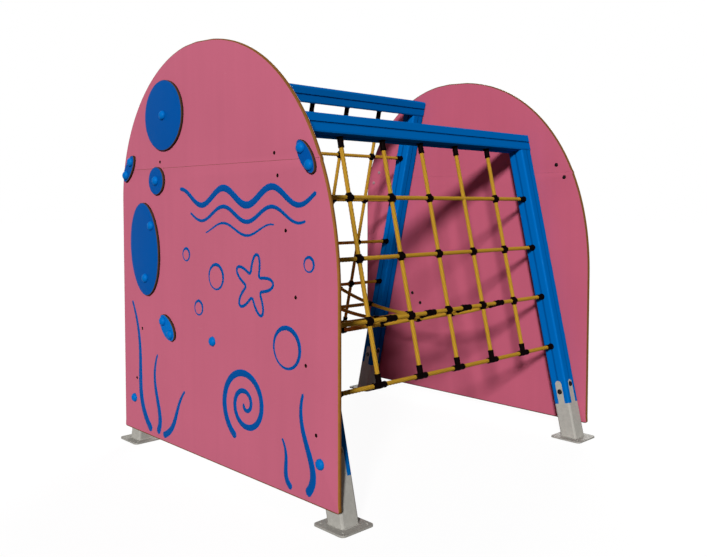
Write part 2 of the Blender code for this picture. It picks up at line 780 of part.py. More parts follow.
def build_side_net(side, leaning, finish):
    """A side net: level and upright ropes, their connectors and the tees that carry the bridge."""
    along_y = Vector((0, 1, 0))
    upright = Vector((0, 0, 1))
    outward = along_y.cross(upright)
    under_beam = beam_line(side) - SECTION / 2
    rows = round((under_beam - LOWEST_ROPE_HEIGHT) / ROPE_ROW_PITCH)
    heights = [LOWEST_ROPE_HEIGHT + index * ROPE_ROW_PITCH for index in range(rows)]

    bm = bmesh.new()
    stations = {height: [] for height in heights}
    for column in column_places():
        arms = arms_of(TEE_ROW_REACH, (1, 0), (-1, 0))
        arms[0, 1] = TEE_UPRIGHT_REACH
        ropes = connector(bm, (0, column, heights[0]), (along_y, upright), TEE_RADIUS, arms)
        stations[heights[0]].append((column, ropes[-1, 0], ropes[1, 0]))
        for height in heights[1:]:
            below = ropes[0, 1]
            arms = arms_of(CROSS_REACH, (1, 0), (-1, 0), (0, 1), (0, -1))
            ropes = connector(bm, (0, column, height), (along_y, upright), CROSS_RADIUS, arms)
            stitch(bm, below, ropes[0, -1])
            stations[height].append((column, ropes[-1, 0], ropes[1, 0]))
        top = end_fitting(bm, (0, column, under_beam), -upright, along_y, outward, TEE_UPRIGHT_REACH)
        stitch(bm, ropes[0, 1], top)

    bridge_row = heights[BRIDGE_ROW]
    away = Vector((math.cos(BRIDGE_END_SLOPE), 0, math.sin(BRIDGE_END_SLOPE)))
    back = Matrix.Rotation(LEAN, 3, "Y") @ away
    for place in bridge_places():
        arms = arms_of(BRIDGE_TEE_ROW_REACH, (1, 0), (-1, 0))
        arms[0, -1] = BRIDGE_TEE_ARM
        ropes = connector(bm, (0, place, bridge_row), (along_y, back), TEE_RADIUS, arms, (upright, outward))
        bm.faces.new(ropes[0, -1])
        stations[bridge_row].append((place, ropes[-1, 0], ropes[1, 0]))

    for height in heights:
        low = (0, -POST_INNER_FACE, height)
        high = (0, POST_INNER_FACE, height)
        before = end_fitting(bm, low, along_y, upright, outward, END_FITTING_LENGTH)
        for _, arriving, leaving in sorted(stations[height], key=lambda station: station[0]):
            stitch(bm, before, arriving)
            before = leaving
        stitch(bm, before, end_fitting(bm, high, -along_y, upright, outward, END_FITTING_LENGTH))
    solid(side.name + "_net", bm, finish, leaning)


def build_bridge_net(finish):
    """The net between the two sides: cross ropes that sag in a parabola and level ropes over them.

    A cross rope leaves each side's tee along the tee's arm. Between the arms its height is
    low + curve * x * x, with curve set so that the rope's slope there is the arm's slope.
    """
    row = LOWEST_ROPE_HEIGHT + BRIDGE_ROW * ROPE_ROW_PITCH
    hang_x = FOOT_SPREAD - row * math.sin(LEAN)
    hang_z = row * math.cos(LEAN)
    reach = BRIDGE_TEE_ARM + FIT
    end_x = hang_x - reach * math.cos(BRIDGE_END_SLOPE)
    end_z = hang_z - reach * math.sin(BRIDGE_END_SLOPE)
    curve = math.tan(BRIDGE_END_SLOPE) / (2 * end_x)
    along_y = Vector((0, 1, 0))

    def tangent(x):
        return Vector((1, 0, 2 * curve * x)).normalized()

    def point(x, y):
        return Vector((x, y, end_z - curve * (end_x ** 2 - x ** 2)))

    def rope_ring(x, y):
        return ring(bm, point(x, y), along_y, tangent(x).cross(along_y), ROPE_RADIUS, ROPE_SIDES)

    bm = bmesh.new()
    places = bridge_places()
    knots = [-hang_x / 2, 0, hang_x / 2]
    level_ropes = {}
    for place in places:
        before = rope_ring(-end_x, place)
        bm.faces.new(before)
        previous = -end_x
        for knot in knots + [end_x]:
            for step in range(1, BRIDGE_SPAN_STEPS):
                following = rope_ring(previous + (knot - previous) * step / BRIDGE_SPAN_STEPS, place)
                stitch(bm, before, following)
                before = following
            previous = knot
            if knot == end_x:
                continue
            arms = arms_of(CROSS_REACH, (1, 0), (-1, 0))
            if place != places[0]:
                arms[0, -1] = CROSS_REACH
            if place != places[-1]:
                arms[0, 1] = CROSS_REACH
            ropes = connector(bm, point(knot, place), (tangent(knot), along_y), CROSS_RADIUS, arms)
            stitch(bm, before, ropes[-1, 0])
            before = ropes[1, 0]
            if place != places[0]:
                stitch(bm, level_ropes[knot], ropes[0, -1])
            level_ropes[knot] = ropes.get((0, 1))
        last = rope_ring(end_x, place)
        stitch(bm, before, last)
        bm.faces.new(last)
    solid("bridge_net", bm, finish, None)


def main():
    """Build the whole frame."""
    clear_scene()
    paint = material("blue_paint", (0.0, 0.11, 0.42), 0.4)
    zinc = material("galvanised_steel", (0.35, 0.34, 0.31), 0.5, 0.7)
    rope = material("yellow_rope", (0.48, 0.27, 0.02), 0.8)
    panel_finishes = {
        "board": material("pink_board", (0.53, 0.13, 0.19), 0.45),
        "spot": material("blue_board", (0.005, 0.085, 0.31), 0.45),
        "cap": material("blue_cap", (0.0, 0.2, 0.6), 0.35),
    }

    for side in (RIGHT, LEFT):
        standing = empty(side.name + "_side", (across(side) * FOOT_SPREAD, 0, 0), (0, 0, side.turn))
        leaning = empty(side.name + "_plane", rotation=(0, -LEAN, 0), parent=standing)
        for end in (FRONT, REAR):
            build_foot(end, side, standing, zinc)
            build_post(end, side, leaning, paint)
        build_beam(side, leaning, paint)
        build_side_net(side, leaning, rope)
    build_bridge_net(rope)
    for end in (FRONT, REAR):
        build_panel(end, panel_finishes)
    bpy.context.view_layer.update()


main()
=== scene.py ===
"""Looks of a playground climbing frame with arched panels, blue posts and beams, and rope nets.

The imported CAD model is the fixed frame. Smooth boards, spots and caps, twisted ropes, moulded
connectors, plugs, nuts, bolt heads, weld beads and painted strokes are built on it with numpy.
Every size is in metres, +Z is up, the front panel faces -Y and the side with the lower beam is at +X.
"""
from __future__ import annotations

import logging
import math
from dataclasses import dataclass, field
from enum import Enum
from typing import Callable, Sequence

import bpy
import numpy as np
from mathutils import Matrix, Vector
from mathutils.geometry import delaunay_2d_cdt


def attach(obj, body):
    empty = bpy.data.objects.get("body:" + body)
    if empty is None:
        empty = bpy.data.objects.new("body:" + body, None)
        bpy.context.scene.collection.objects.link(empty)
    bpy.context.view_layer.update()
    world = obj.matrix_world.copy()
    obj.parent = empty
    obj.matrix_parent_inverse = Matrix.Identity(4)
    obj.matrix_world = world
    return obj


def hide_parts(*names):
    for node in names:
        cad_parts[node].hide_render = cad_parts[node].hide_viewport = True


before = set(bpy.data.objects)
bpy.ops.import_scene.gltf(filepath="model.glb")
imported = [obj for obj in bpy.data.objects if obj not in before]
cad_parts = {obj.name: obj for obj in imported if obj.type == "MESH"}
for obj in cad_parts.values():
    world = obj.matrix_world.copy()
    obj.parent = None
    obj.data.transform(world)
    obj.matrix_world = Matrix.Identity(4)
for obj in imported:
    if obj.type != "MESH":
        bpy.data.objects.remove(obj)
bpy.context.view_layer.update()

log = logging.getLogger("climbing_frame")

Array = np.ndarray
Triple = tuple[float, float, float]
Colour = Triple
Place = tuple[float, float]
Material = bpy.types.Material
Socket = bpy.types.NodeSocket

# Layout of the frame, as in the CAD source
FIT = 0.0003
LEAN = math.radians(13.0)
FOOT_SPREAD = 0.876
SECTION = 0.100
POST_Y = 0.943
POST_INNER_FACE = POST_Y - SECTION / 2
BOARD_INNER = 1.002
BOARD_THICKNESS = 0.019
SPOT_SEAT = BOARD_THICKNESS + FIT
SPOT_THICKNESS = 0.015
SPOT_FACE = SPOT_SEAT + SPOT_THICKNESS
FOOT_LENGTH = 0.209
PLATE_THICKNESS = 0.009
ROPE_RADIUS = 0.0116
ROW_PITCH = 0.3037
LOWEST_ROW = 0.552
COLUMN_COUNT = 5
COLUMN_PITCH = 2 * POST_INNER_FACE / (COLUMN_COUNT + 1)
COLUMN_PLACES = [(index - (COLUMN_COUNT - 1) / 2) * COLUMN_PITCH for index in range(COLUMN_COUNT)]
BRIDGE_PLACES = [(first + second) / 2 for first, second in zip(COLUMN_PLACES, COLUMN_PLACES[1:])]
BRIDGE_SLOPE = math.radians(19.3)
BRIDGE_ARM = 0.065
SLEEVE_RADIUS = 0.015
POST_SLEEVE = 0.050
BEAM_SLEEVE = 0.054
CROSS_REACH = 0.0225
HELD_LENGTH = 0.01
HELD_IN_TEE = 0.02
ALONG_X, ALONG_Y, ALONG_Z = np.eye(3)


def linear(red: int, green: int, blue: int) -> Colour:
    """Linear colour of an 8-bit screen colour."""
    def decode(level: int) -> float:
        """One number of the colour."""
        share = level / 255
        return share / 12.92 if share < 0.04045 else ((share + 0.055) / 1.055) ** 2.4
    return decode(red), decode(green), decode(blue)


class Palette(Enum):
    """Colours of the frame's finishes."""

    PINK = linear(189, 98, 121)
    # Painted shade: the front pink darkened for the rear panel, as its inner face gets less light
    REAR_PINK = linear(182, 89, 112)
    PINK_CORE = linear(146, 95, 42)
    BLUE_CORE = linear(74, 54, 38)
    SPOT_BLUE = linear(0, 78, 154)
    BRIGHT_BLUE = linear(0, 103, 184)
    STROKE_BLUE = linear(0, 76, 148)
    CAP_BLUE = linear(0, 102, 180)
    PAINT_BLUE = linear(0, 97, 174)
    ROPE_YELLOW = linear(182, 140, 41)
    BLACK = linear(12, 6, 6)
    # Painted shade: the plugs' colour stands in for the dark inside of the counterbored holes
    SHADED_PLUG = linear(20, 7, 8)
    BOLT = linear(28, 20, 20)
    ZINC = linear(152, 130, 132)
    GALVANISED = linear(165, 163, 156)


def step(operation: str, swapped: bool = False) -> Callable[[Value, Value | float], Value]:
    """The method of a value that puts a Math node on it and another value, in this order or swapped."""
    def method(self: Value, other: Value | float) -> Value:
        """The Math node's value."""
        first, second = (other, self) if swapped else (self, other)
        return self.nodes.math(operation, first, second)
    return method


class Value:
    """A number in a node tree that takes part in Python expressions."""

    def __init__(self, nodes: Nodes, socket: Socket) -> None:
        """Wrap an output socket of one tree."""
        self.nodes = nodes
        self.socket = socket

    __add__ = __radd__ = step("ADD")
    __sub__ = step("SUBTRACT")
    __rsub__ = step("SUBTRACT", swapped=True)
    __mul__ = __rmul__ = step("MULTIPLY")

    def __abs__(self) -> Value:
        """Absolute value."""
        return self.nodes.math("ABSOLUTE", self, 0.0)

    def rise(self, low: float, high: float) -> Value:
        """0 below low, 1 above high and a straight line between them."""
        values = {"Value": self, "From Min": low, "From Max": high}
        return Value(self.nodes, self.nodes.node("MapRange", {"clamp": True}, values).outputs["Result"])


class Nodes:
    """The node tree of one material or world, with a method for each kind of step."""

    def __init__(self, name: str, world: bool = False) -> None:
        """Start an empty material, or an empty world."""
        self.owner = (bpy.data.worlds if world else bpy.data.materials).new(name)
        self.owner.use_nodes = True
        self.tree = self.owner.node_tree
        self.tree.nodes.clear()
        self.place = self.node("TexCoord").outputs["Object"]

    def node(self, kind: str, settings: dict | None = None, values: dict | None = None) -> bpy.types.Node:
        """Add a node.

        Args:
            kind: Type of the node, without the ShaderNode that each type starts with.
            settings: Its settings, set first.
            values: Values or links of its sockets, by name or number.

        Returns:
            The new node.
        """
        made = self.tree.nodes.new("ShaderNode" + kind)
        for key, setting in (settings or {}).items():
            setattr(made, key, setting)
        for key, value in (values or {}).items():
            socket = made.inputs[key]
            if isinstance(value, Value):
                value = value.socket
            if isinstance(value, Socket):
                self.tree.links.new(value, socket)
            else:
                socket.default_value = (*value, 1.0) if socket.type == "RGBA" else value
        return made

    def math(self, operation: str, first: Value | float, second: Value | float) -> Value:
        """A Math node on two values."""
        return Value(self, self.node("Math", {"operation": operation}, {0: first, 1: second}).outputs[0])

    def larger(self, first: Value, second: Value) -> Value:
        """The larger of two values."""
        return self.math("MAXIMUM", first, second)

    def split(self, vector: Socket | None = None) -> list[Value]:
        """The three numbers of a vector, by default of the surface's place in the object."""
        made = self.node("SeparateXYZ", values={0: vector or self.place})
        return [Value(self, part) for part in made.outputs]

    def noise(self, size: float, detail: float = 2.0, rough: float = 0.5, at: Socket | None = None) -> Value:
        """Smooth noise round 0.5.

        Args:
            size: Distance across which it changes.
            detail: Number of finer layers.
            rough: Strength of the finer layers.
            at: Where it is read, the surface's place if left out.

        Returns:
            The noise.
        """
        values = {"Vector": at or self.place, "Scale": 1 / size, "Detail": detail, "Roughness": rough}
        return Value(self, self.node("TexNoise", values=values).outputs["Fac"])

    def streaked(self, scale: Triple, detail: float = 2.0, rough: float = 0.5) -> Value:
        """Noise read at the surface's place times a factor along each axis."""
        at = self.node("Mapping", values={"Vector": self.place, "Scale": scale}).outputs[0]
        return self.noise(1.0, detail, rough, at)

    def cells(self, size: float) -> Value:
        """A random number in each cell of a broken pattern."""
        voronoi = self.node("TexVoronoi", values={"Vector": self.place, "Scale": 1 / size})
        return Value(self, self.node("SeparateColor", values={0: voronoi.outputs["Color"]}).outputs[0])

    def mix(self, share: Value | float, first: Socket | Colour, second: Socket | Colour) -> Socket:
        """A colour between two colours."""
        settings = {"data_type": "RGBA", "clamp_factor": True}
        return self.node("Mix", settings, {0: share, 6: first, 7: second}).outputs[2]

    def tinted(self, colour: Colour, level: Value) -> Socket:
        """A colour multiplied by a level."""
        grey = self.node("CombineXYZ", values={0: level, 1: level, 2: level}).outputs[0]
        settings = {"data_type": "RGBA", "blend_type": "MULTIPLY", "clamp_result": False}
        return self.node("Mix", settings, {0: 1.0, 6: colour, 7: grey}).outputs[2]

    def bump(self, height: Value, depth: float, under: Socket | None = None) -> Socket:
        """A normal from a height between 0 and 1 and its real depth, on top of another bump."""
        values = {"Height": height, "Distance": depth, "Strength": 1.0}
        if under:
            values["Normal"] = under
        return self.node("Bump", values=values).outputs[0]

    def seen(self) -> Value:
        """1 for what the camera sees, by itself, in a mirror or through glass, and 0 for other light."""
        path = self.node("LightPath").outputs
        camera, glossy, through = (
            Value(self, path[f"Is {kind} Ray"]) for kind in ("Camera", "Glossy", "Transmission")
        )
        return self.larger(self.larger(camera, glossy), through)

    def surface(
        self, colour: Socket, rough: Value, normal: Socket, specular: float, metallic: Value | float = 0.0
    ) -> Material:
        """Finish the material with a Principled shader."""
        shader = self.node("BsdfPrincipled", values={
            "Base Color": colour,
            "Roughness": rough,
            "Normal": normal,
            "Specular IOR Level": specular,
            "Metallic": metallic,
        })
        self.node("OutputMaterial", values={"Surface": shader.outputs[0]})
        return self.owner


@dataclass(frozen=True)
class BoardFinish:
    """Board with a coloured skin on both faces of a core that shows at its edges and its holes."""

    name: str
    skin: Colour
    rub: Colour
    core: Colour = Palette.PINK_CORE.value
    inner: float = 0.0
    outer: float = BOARD_THICKNESS
    streak: float = 0.09
    seat_shade: float = 0.0
    skin_depth: float = 0.00012
    blur: float = 0.00004

    def make(self) -> Material:
        """The board's material, which tells skin from core by the depth in the panel.

        The edge has painted shade towards the inner face and at the top. The skin is worn off along the
        lower edge, which is darker, and painted shade lies where a spot sits.
        """
        nodes = Nodes(self.name)
        _, y, z = nodes.split()
        depth = abs(y) - BOARD_INNER
        ragged = (nodes.noise(0.006) - 0.5) * 0.00010
        low = self.inner + self.skin_depth
        high = self.outer - self.skin_depth
        core = (depth + ragged).rise(low - self.blur, low + self.blur)
        core = core * (1 - (depth + ragged).rise(high - self.blur, high + self.blur))
        core = nodes.larger(core, 1 - (z + ragged * 9).rise(Arch.bottom + 0.0044, Arch.bottom + 0.0072))

        streaks = nodes.streaked((16.0, 16.0, 0.7), 3.0, 0.6)
        clouds = nodes.noise(0.35, 3.0)
        grain = nodes.noise(0.0016, 2.0, 0.6)
        level = 1 + (streaks - 0.5) * self.streak + (clouds - 0.5) * 0.10 + (grain - 0.5) * 0.07
        scratch = nodes.streaked((7.0, 7.0, 260.0)).rise(0.70, 0.74)
        rubbed = scratch * nodes.noise(0.09, 3.0, 0.6).rise(0.56, 0.70)
        skin = nodes.mix(rubbed * 0.30, nodes.tinted(self.skin, level), self.rub)

        cutter = nodes.streaked((60.0, 900.0, 60.0))
        edge = nodes.tinted(self.core, 0.78 + nodes.noise(0.05, 3.0) * 0.36 + cutter * 0.10)
        stain = nodes.noise(0.012, 3.0, 0.7).rise(0.60, 0.75)
        edge = nodes.mix(stain * 0.35, edge, (0.10, 0.06, 0.02))
        # Painted shade: the edge darkens towards the inner face and towards the top of the arch
        edge_shade = 1 - (depth + ragged * 20).rise(self.inner + 0.004, self.outer - 0.001)
        edge = nodes.mix(nodes.larger(edge_shade, z.rise(1.2, 1.9) * 0.7) * 0.65, edge, (0.060, 0.034, 0.010))
        # Painted shade in the corner where a spot sits on the board; the lower edge is also made darker
        seat = 1 - (depth + ragged * 14).rise(self.inner + 0.004, self.inner + 0.009)
        ground = 1 - z.rise(Arch.bottom + 0.004, Arch.bottom + 0.012)
        edge = nodes.mix(nodes.larger(seat * self.seat_shade, ground * 0.5), edge, (0.016, 0.008, 0.006))

        normal = nodes.bump(nodes.noise(0.0011) * (1 - core) + cutter * core * 0.8, 0.00010)
        rough = 0.50 + (nodes.noise(0.02, 3.0) - 0.5) * 0.16 + core * 0.08 + rubbed * 0.10
        return nodes.surface(nodes.mix(core, skin, edge), rough, normal, specular=0.03)


@dataclass(frozen=True)
class MouldedFinish:
    """Moulded plastic with a fine grain, a few scuffs and thin dust."""

    name: str
    colour: Colour
    rough: float
    scuff: Colour
    specular: float
    grain: float = 0.00005

    def make(self) -> Material:
        """The plastic's material."""
        nodes = Nodes(self.name)
        dust = nodes.noise(0.012, 4.0, 0.65).rise(0.55, 0.78)
        fine = nodes.noise(0.0009)
        scuffs = nodes.streaked((90.0, 700.0, 90.0)).rise(0.66, 0.72)
        plain = nodes.tinted(self.colour, 0.94 + nodes.noise(0.05, 3.0) * 0.12)
        colour = nodes.mix(dust * 0.10 + scuffs * 0.16, plain, self.scuff)
        rough = self.rough + dust * 0.14 + (fine - 0.5) * 0.06
        return nodes.surface(colour, rough, nodes.bump(fine, self.grain), self.specular)


@dataclass(frozen=True)
class PaintFinish:
    """Powder coat on the posts and beams, rubbed at the corners, with painted shade in the grooves; dark
    bolts.
    """

    name: str
    beam_line: float = 0.0

    def make(self) -> Material:
        """The paint's material, with the wear placed in the section's own axes."""
        nodes = Nodes(self.name)
        x, y, z = nodes.split()
        spread = abs(x) - FOOT_SPREAD
        lateral = spread * math.cos(LEAN) + z * math.sin(LEAN)
        along = z * math.cos(LEAN) - spread * math.sin(LEAN)
        other = along - self.beam_line if self.beam_line else abs(y) - POST_Y
        corner = nodes.math("MINIMUM", abs(lateral), abs(other))
        wear = corner.rise(SECTION / 2 - 0.0060, SECTION / 2 - 0.0035)
        patches = wear * nodes.noise(0.035, 4.0, 0.7).rise(0.50, 0.66)
        chips = nodes.noise(0.004, 2.0, 0.6).rise(0.71, 0.74) * nodes.noise(0.16).rise(0.50, 0.62)
        # Painted shade along the groove in the middle of each face
        groove_shade = 1 - corner.rise(0.0035, 0.0075)

        level = 0.95 + nodes.noise(0.25, 3.0) * 0.08 + (nodes.noise(0.003) - 0.5) * 0.05
        colour = nodes.tinted(Palette.PAINT_BLUE.value, level)
        colour = nodes.mix(patches * 0.40 + wear * 0.10, colour, (0.02, 0.20, 0.56))
        colour = nodes.mix(chips * 0.55, colour, (0.06, 0.08, 0.12))
        # Painted shade darkens the grooves.
        colour = nodes.mix(groove_shade * 0.42, colour, (0.0, 0.03, 0.12))
        metallic = 0.0
        if not self.beam_line:
            bolts = (abs(y) - (POST_Y + SECTION / 2)).rise(0.0002, 0.0004)
            colour = nodes.mix(bolts, colour, Palette.BOLT.value)
            metallic = bolts * 0.4
        rough = 0.40 + (nodes.noise(0.04, 3.0) - 0.5) * 0.14 + patches * 0.12 + chips * 0.2
        peel = nodes.bump(nodes.noise(0.0028, 2.0, 0.4), 0.00008)
        return nodes.surface(colour, rough, nodes.bump(1 - chips, 0.00010, peel), 0.0, metallic)


@dataclass(frozen=True)
class GalvanisedFinish:
    """Hot-dip galvanised steel with a dull spangle and pale stains, darker along its lower edge."""

    name: str

    def make(self) -> Material:
        """The steel's material."""
        nodes = Nodes(self.name)
        z = nodes.split()[2]
        spangle = nodes.cells(0.011) * 0.6 + nodes.cells(0.004) * 0.4
        low = 1 - z.rise(0.008, 0.050)
        stain = (nodes.noise(0.010, 4.0, 0.7) + low * 0.16).rise(0.58, 0.74)
        level = 0.82 + spangle * 0.16 + nodes.noise(0.03, 4.0, 0.6) * 0.20
        colour = nodes.mix(stain * 0.28, nodes.tinted(Palette.GALVANISED.value, level), (0.50, 0.49, 0.46))
        # Darker towards the floor
        colour = nodes.mix((1 - z.rise(0.004, 0.014)) * 0.34, colour, (0.15, 0.14, 0.125))
        runs = nodes.streaked((70.0, 70.0, 9.0))
        normal = nodes.bump(runs * 0.7 + nodes.noise(0.0022, 3.0, 0.6) * 0.3, 0.00022)
        return nodes.surface(colour, 0.50 + spangle * 0.16 + stain * 0.18, normal, 0.04, 0.03)


@dataclass(frozen=True)
class BoltFinish:
    """Blackened or zinc-plated bolts with turned marks and grime."""

    name: str
    colour: Colour
    metallic: float
    soiling: float = 0.6

    def make(self) -> Material:
        """The bolts' material."""
        nodes = Nodes(self.name)
        grime = nodes.noise(0.004, 4.0, 0.7).rise(0.48, 0.70)
        metal = nodes.tinted(self.colour, 0.8 + nodes.noise(0.008) * 0.4)
        colour = nodes.mix(grime * self.soiling, metal, (0.02, 0.018, 0.016))
        normal = nodes.bump(nodes.noise(0.0008), 0.00006)
        return nodes.surface(colour, 0.34 + grime * 0.30, normal, 0.12, self.metallic)


@dataclass(frozen=True)
class RopeFinish:
    """Yarn-covered rope, read from a map with the turn round it across and the length along it."""

    name: str
    strands: int = 6
    yarn_pitch: float = 0.0021

    def make(self) -> Material:
        """The rope's material, with painted shade between its strands and yarns that slant across them."""
        nodes = Nodes(self.name)
        turn, length, _ = nodes.split(nodes.node("UVMap", {"uv_map": "lay"}).outputs[0])
        inside = nodes.math("FRACT", turn * self.strands + 0.5, 0.0) - 0.5
        groove_shade = abs(inside).rise(0.26, 0.50)
        slant = length + inside * 0.0085
        yarns = nodes.math("SINE", slant * (2 * math.pi / self.yarn_pitch), 0.0) * 0.5 + 0.5
        fuzz = nodes.noise(0.0012, 3.0, 0.7)
        level = 0.84 + nodes.noise(0.06, 3.0, 0.6) * 0.26 + (fuzz - 0.5) * 0.22 + yarns * 0.10
        soil = nodes.noise(0.03, 4.0, 0.7).rise(0.55, 0.80) * 0.30
        colour = nodes.mix(soil, nodes.tinted(Palette.ROPE_YELLOW.value, level), (0.24, 0.15, 0.035))
        # Painted shade between the strands
        colour = nodes.mix(groove_shade * 0.62, colour, (0.16, 0.085, 0.012))
        normal = nodes.bump(yarns * 0.7 + fuzz * 0.3, 0.00045)
        return nodes.surface(colour, 0.72 + (fuzz - 0.5) * 0.2, normal, specular=0.05)


@dataclass
class Surface:
    """Vertices with four-sided and three-sided faces, and a map for each face corner."""

    points: Array
    quads: Array = field(default_factory=lambda: np.zeros((0, 4), int))
    triangles: Array = field(default_factory=lambda: np.zeros((0, 3), int))
    lay: Array | None = None

    def placed(self, axes: Array, centre: Array) -> Surface:
        """A copy with its X, Y and Z turned to the rows of axes and its origin at the centre."""
        return Surface(self.points @ axes + centre, self.quads, self.triangles, self.lay)

    def flipped(self) -> Surface:
        """A copy without the map whose faces look the other way."""
        return Surface(self.points, self.quads[:, ::-1], self.triangles[:, ::-1])


def joined(surfaces: Sequence[Surface]) -> Surface:
    """One surface that holds several."""
    starts = np.cumsum([0] + [len(surface.points) for surface in surfaces])
    return Surface(
        np.concatenate([surface.points for surface in surfaces]),
        np.concatenate([surface.quads + start for surface, start in zip(surfaces, starts)]),
        np.concatenate([surface.triangles + start for surface, start in zip(surfaces, starts)]),
        None if surfaces[0].lay is None else np.concatenate([surface.lay for surface in surfaces]),
    )


def add_object(name: str, data: bpy.types.ID) -> bpy.types.Object:
    """A new object in the scene."""
    made = bpy.data.objects.new(name, data)
    bpy.context.scene.collection.objects.link(made)
    return made


def build_piece(
    name: str,
    surface: Surface,
    finish: Material,
    stands_for: Sequence[str] = (),
    sharp: float = 40.0,
) -> None:
    """Put a surface into the scene as a piece that rides on the frame.

    Args:
        name: Name of the piece.
        surface: Its shape.
        finish: Its material.
        stands_for: CAD nodes that it replaces.
        sharp: Angle in degrees above which an edge between faces stays sharp.
    """
    mesh = bpy.data.meshes.new(name)
    mesh.vertices.add(len(surface.points))
    mesh.vertices.foreach_set("co", surface.points.astype(np.float32).ravel())
    corners = np.concatenate([surface.quads.ravel(), surface.triangles.ravel()])
    sizes = np.concatenate([np.full(len(surface.quads), 4), np.full(len(surface.triangles), 3)])
    mesh.loops.add(len(corners))
    mesh.loops.foreach_set("vertex_index", corners.astype(np.int32))
    mesh.polygons.add(len(sizes))
    mesh.polygons.foreach_set("loop_start", (np.cumsum(sizes) - sizes).astype(np.int32))
    mesh.update(calc_edges=True)
    if surface.lay is not None:
        mesh.uv_layers.new(name="lay").data.foreach_set("uv", surface.lay.astype(np.float32).ravel())
    mesh.materials.append(finish)
    mesh.shade_smooth()
    mesh.set_sharp_from_angle(angle=math.radians(sharp))
    mesh.validate()
    made = add_object(name, mesh)
    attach(made, "root")
    if stands_for:
        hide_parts(*stands_for)
    log.info("%s: %d faces", name, len(sizes))


def unit(vectors: Array) -> Array:
    """Vectors brought to a length of 1."""
    return vectors / np.linalg.norm(vectors, axis=-1, keepdims=True)


def walked(path: Array) -> Array:
    """Length along a path up to each of its points."""
    return np.concatenate([[0], np.cumsum(np.linalg.norm(np.diff(path, axis=0), axis=1))])


def all_round(count: int) -> Array:
    """Angles in equal steps all round."""
    return np.arange(count) * 2 * math.pi / count


def circle(radius: Array | float, angle: Array) -> Array:
    """The two rows radius cos(angle) and radius sin(angle)."""
    return np.stack([radius * np.cos(angle), radius * np.sin(angle)])


def chords(loop: Array) -> Array:
    """Direction at each point of a closed line, from the point before it to the point after it."""
    return unit(np.roll(loop, -1, 0) - np.roll(loop, 1, 0))


def grid_faces(rows: int, columns: int) -> Array:
    """Quads of a grid whose columns close on themselves, rows running up and columns round to the left."""
    row, column = np.meshgrid(np.arange(rows - 1), np.arange(columns), indexing="ij")
    after = (column + 1) % columns
    near, far = row * columns, (row + 1) * columns
    return np.stack([near + column, near + after, far + after, far + column], -1).reshape(-1, 4)


def grid_ends(rows: int, columns: int) -> Array:
    """Triangles from such a grid's first and last ring to the two points that come after the grid."""
    ring = np.arange(columns)
    after = (ring + 1) % columns
    middle = np.full(columns, rows * columns)
    last = (rows - 1) * columns
    low = np.stack([after, ring, middle], -1)
    return np.concatenate([low, np.stack([ring + last, after + last, middle + 1], -1)])


def carried(
    path: Array, first: Array, second: Array, across: Array, along: Array, loop: bool = False
) -> Surface:
    """A profile carried along a path, with its ends closed unless the path is a loop.

    The point for ring i and place j is path[i] + across[i, j] * first[i] + along[i, j] * second[i].

    Args:
        path: Points of the path, one for each ring.
        first: Direction of the profile's first axis at each ring.
        second: Direction of its second axis, so that first x second points along the path.
        across: Profile's first number for each ring and place.
        along: Profile's second number for each ring and place.
        loop: Whether the last ring joins the first.

    Returns:
        The surface.
    """
    points = path[:, None] + across[..., None] * first[:, None] + along[..., None] * second[:, None]
    if loop:
        points = np.concatenate([points, points[:1]])
    rows, columns = points.shape[:2]
    points = points.reshape(-1, 3)
    if loop:
        return Surface(points, grid_faces(rows, columns))
    points = np.concatenate([points, [path[0], path[-1]]])
    return Surface(points, grid_faces(rows, columns), grid_ends(rows, columns))


def turned(profile: Sequence[Place], sides: int) -> Surface:
    """A profile of (radius, height) turned about Z: (r cos a, r sin a, h), with its ends closed."""
    radius, height = np.array(profile, float).T
    x_axis, y_axis = (np.tile(axis, (len(radius), 1)) for axis in (ALONG_X, ALONG_Y))
    across, along = circle(radius[:, None], all_round(sides))
    return carried(np.outer(height, ALONG_Z), x_axis, y_axis, across, along)


def axes_along(direction: Sequence[float], hint: Sequence[float]) -> Array:
    """Rows X, Y and Z of a right-handed frame whose Z is the direction and whose X lies near the hint."""
    third = unit(np.array(direction, float))
    first = unit(np.array(hint, float) - np.dot(hint, third) * third)
    return np.array([first, np.cross(third, first), third])


def offset_outline(outline: Array, gap: Array) -> Array:
    """An outline moved inwards by a gap at each point, along the normal of its neighbours' chord."""
    chord = chords(outline)
    return outline + gap[:, None] * np.stack([-chord[:, 1], chord[:, 0]], -1)


@dataclass(frozen=True)
class Hole:
    """A round hole through a board: its place, its radius at the inner face and at the outer face."""

    place: Place
    inner: float
    outer: float
    floor: float = 0.010
    sides: int = 32

    def ring(self, radius: float) -> Array:
        """Points of a circle round the hole's place, running clockwise so that it bounds the face."""
        return np.array(self.place) + circle(radius, -all_round(self.sides)).T

    def levels(self, low: float, high: float) -> list[Place]:
        """Radius and depth of the hole's edges in a board that lies between two depths."""
        if self.inner == self.outer:
            return [(self.inner, low), (self.outer, high)]
        floor = low + self.floor
        return [(self.inner, low), (self.inner, floor), (self.outer, floor), (self.outer, high)]


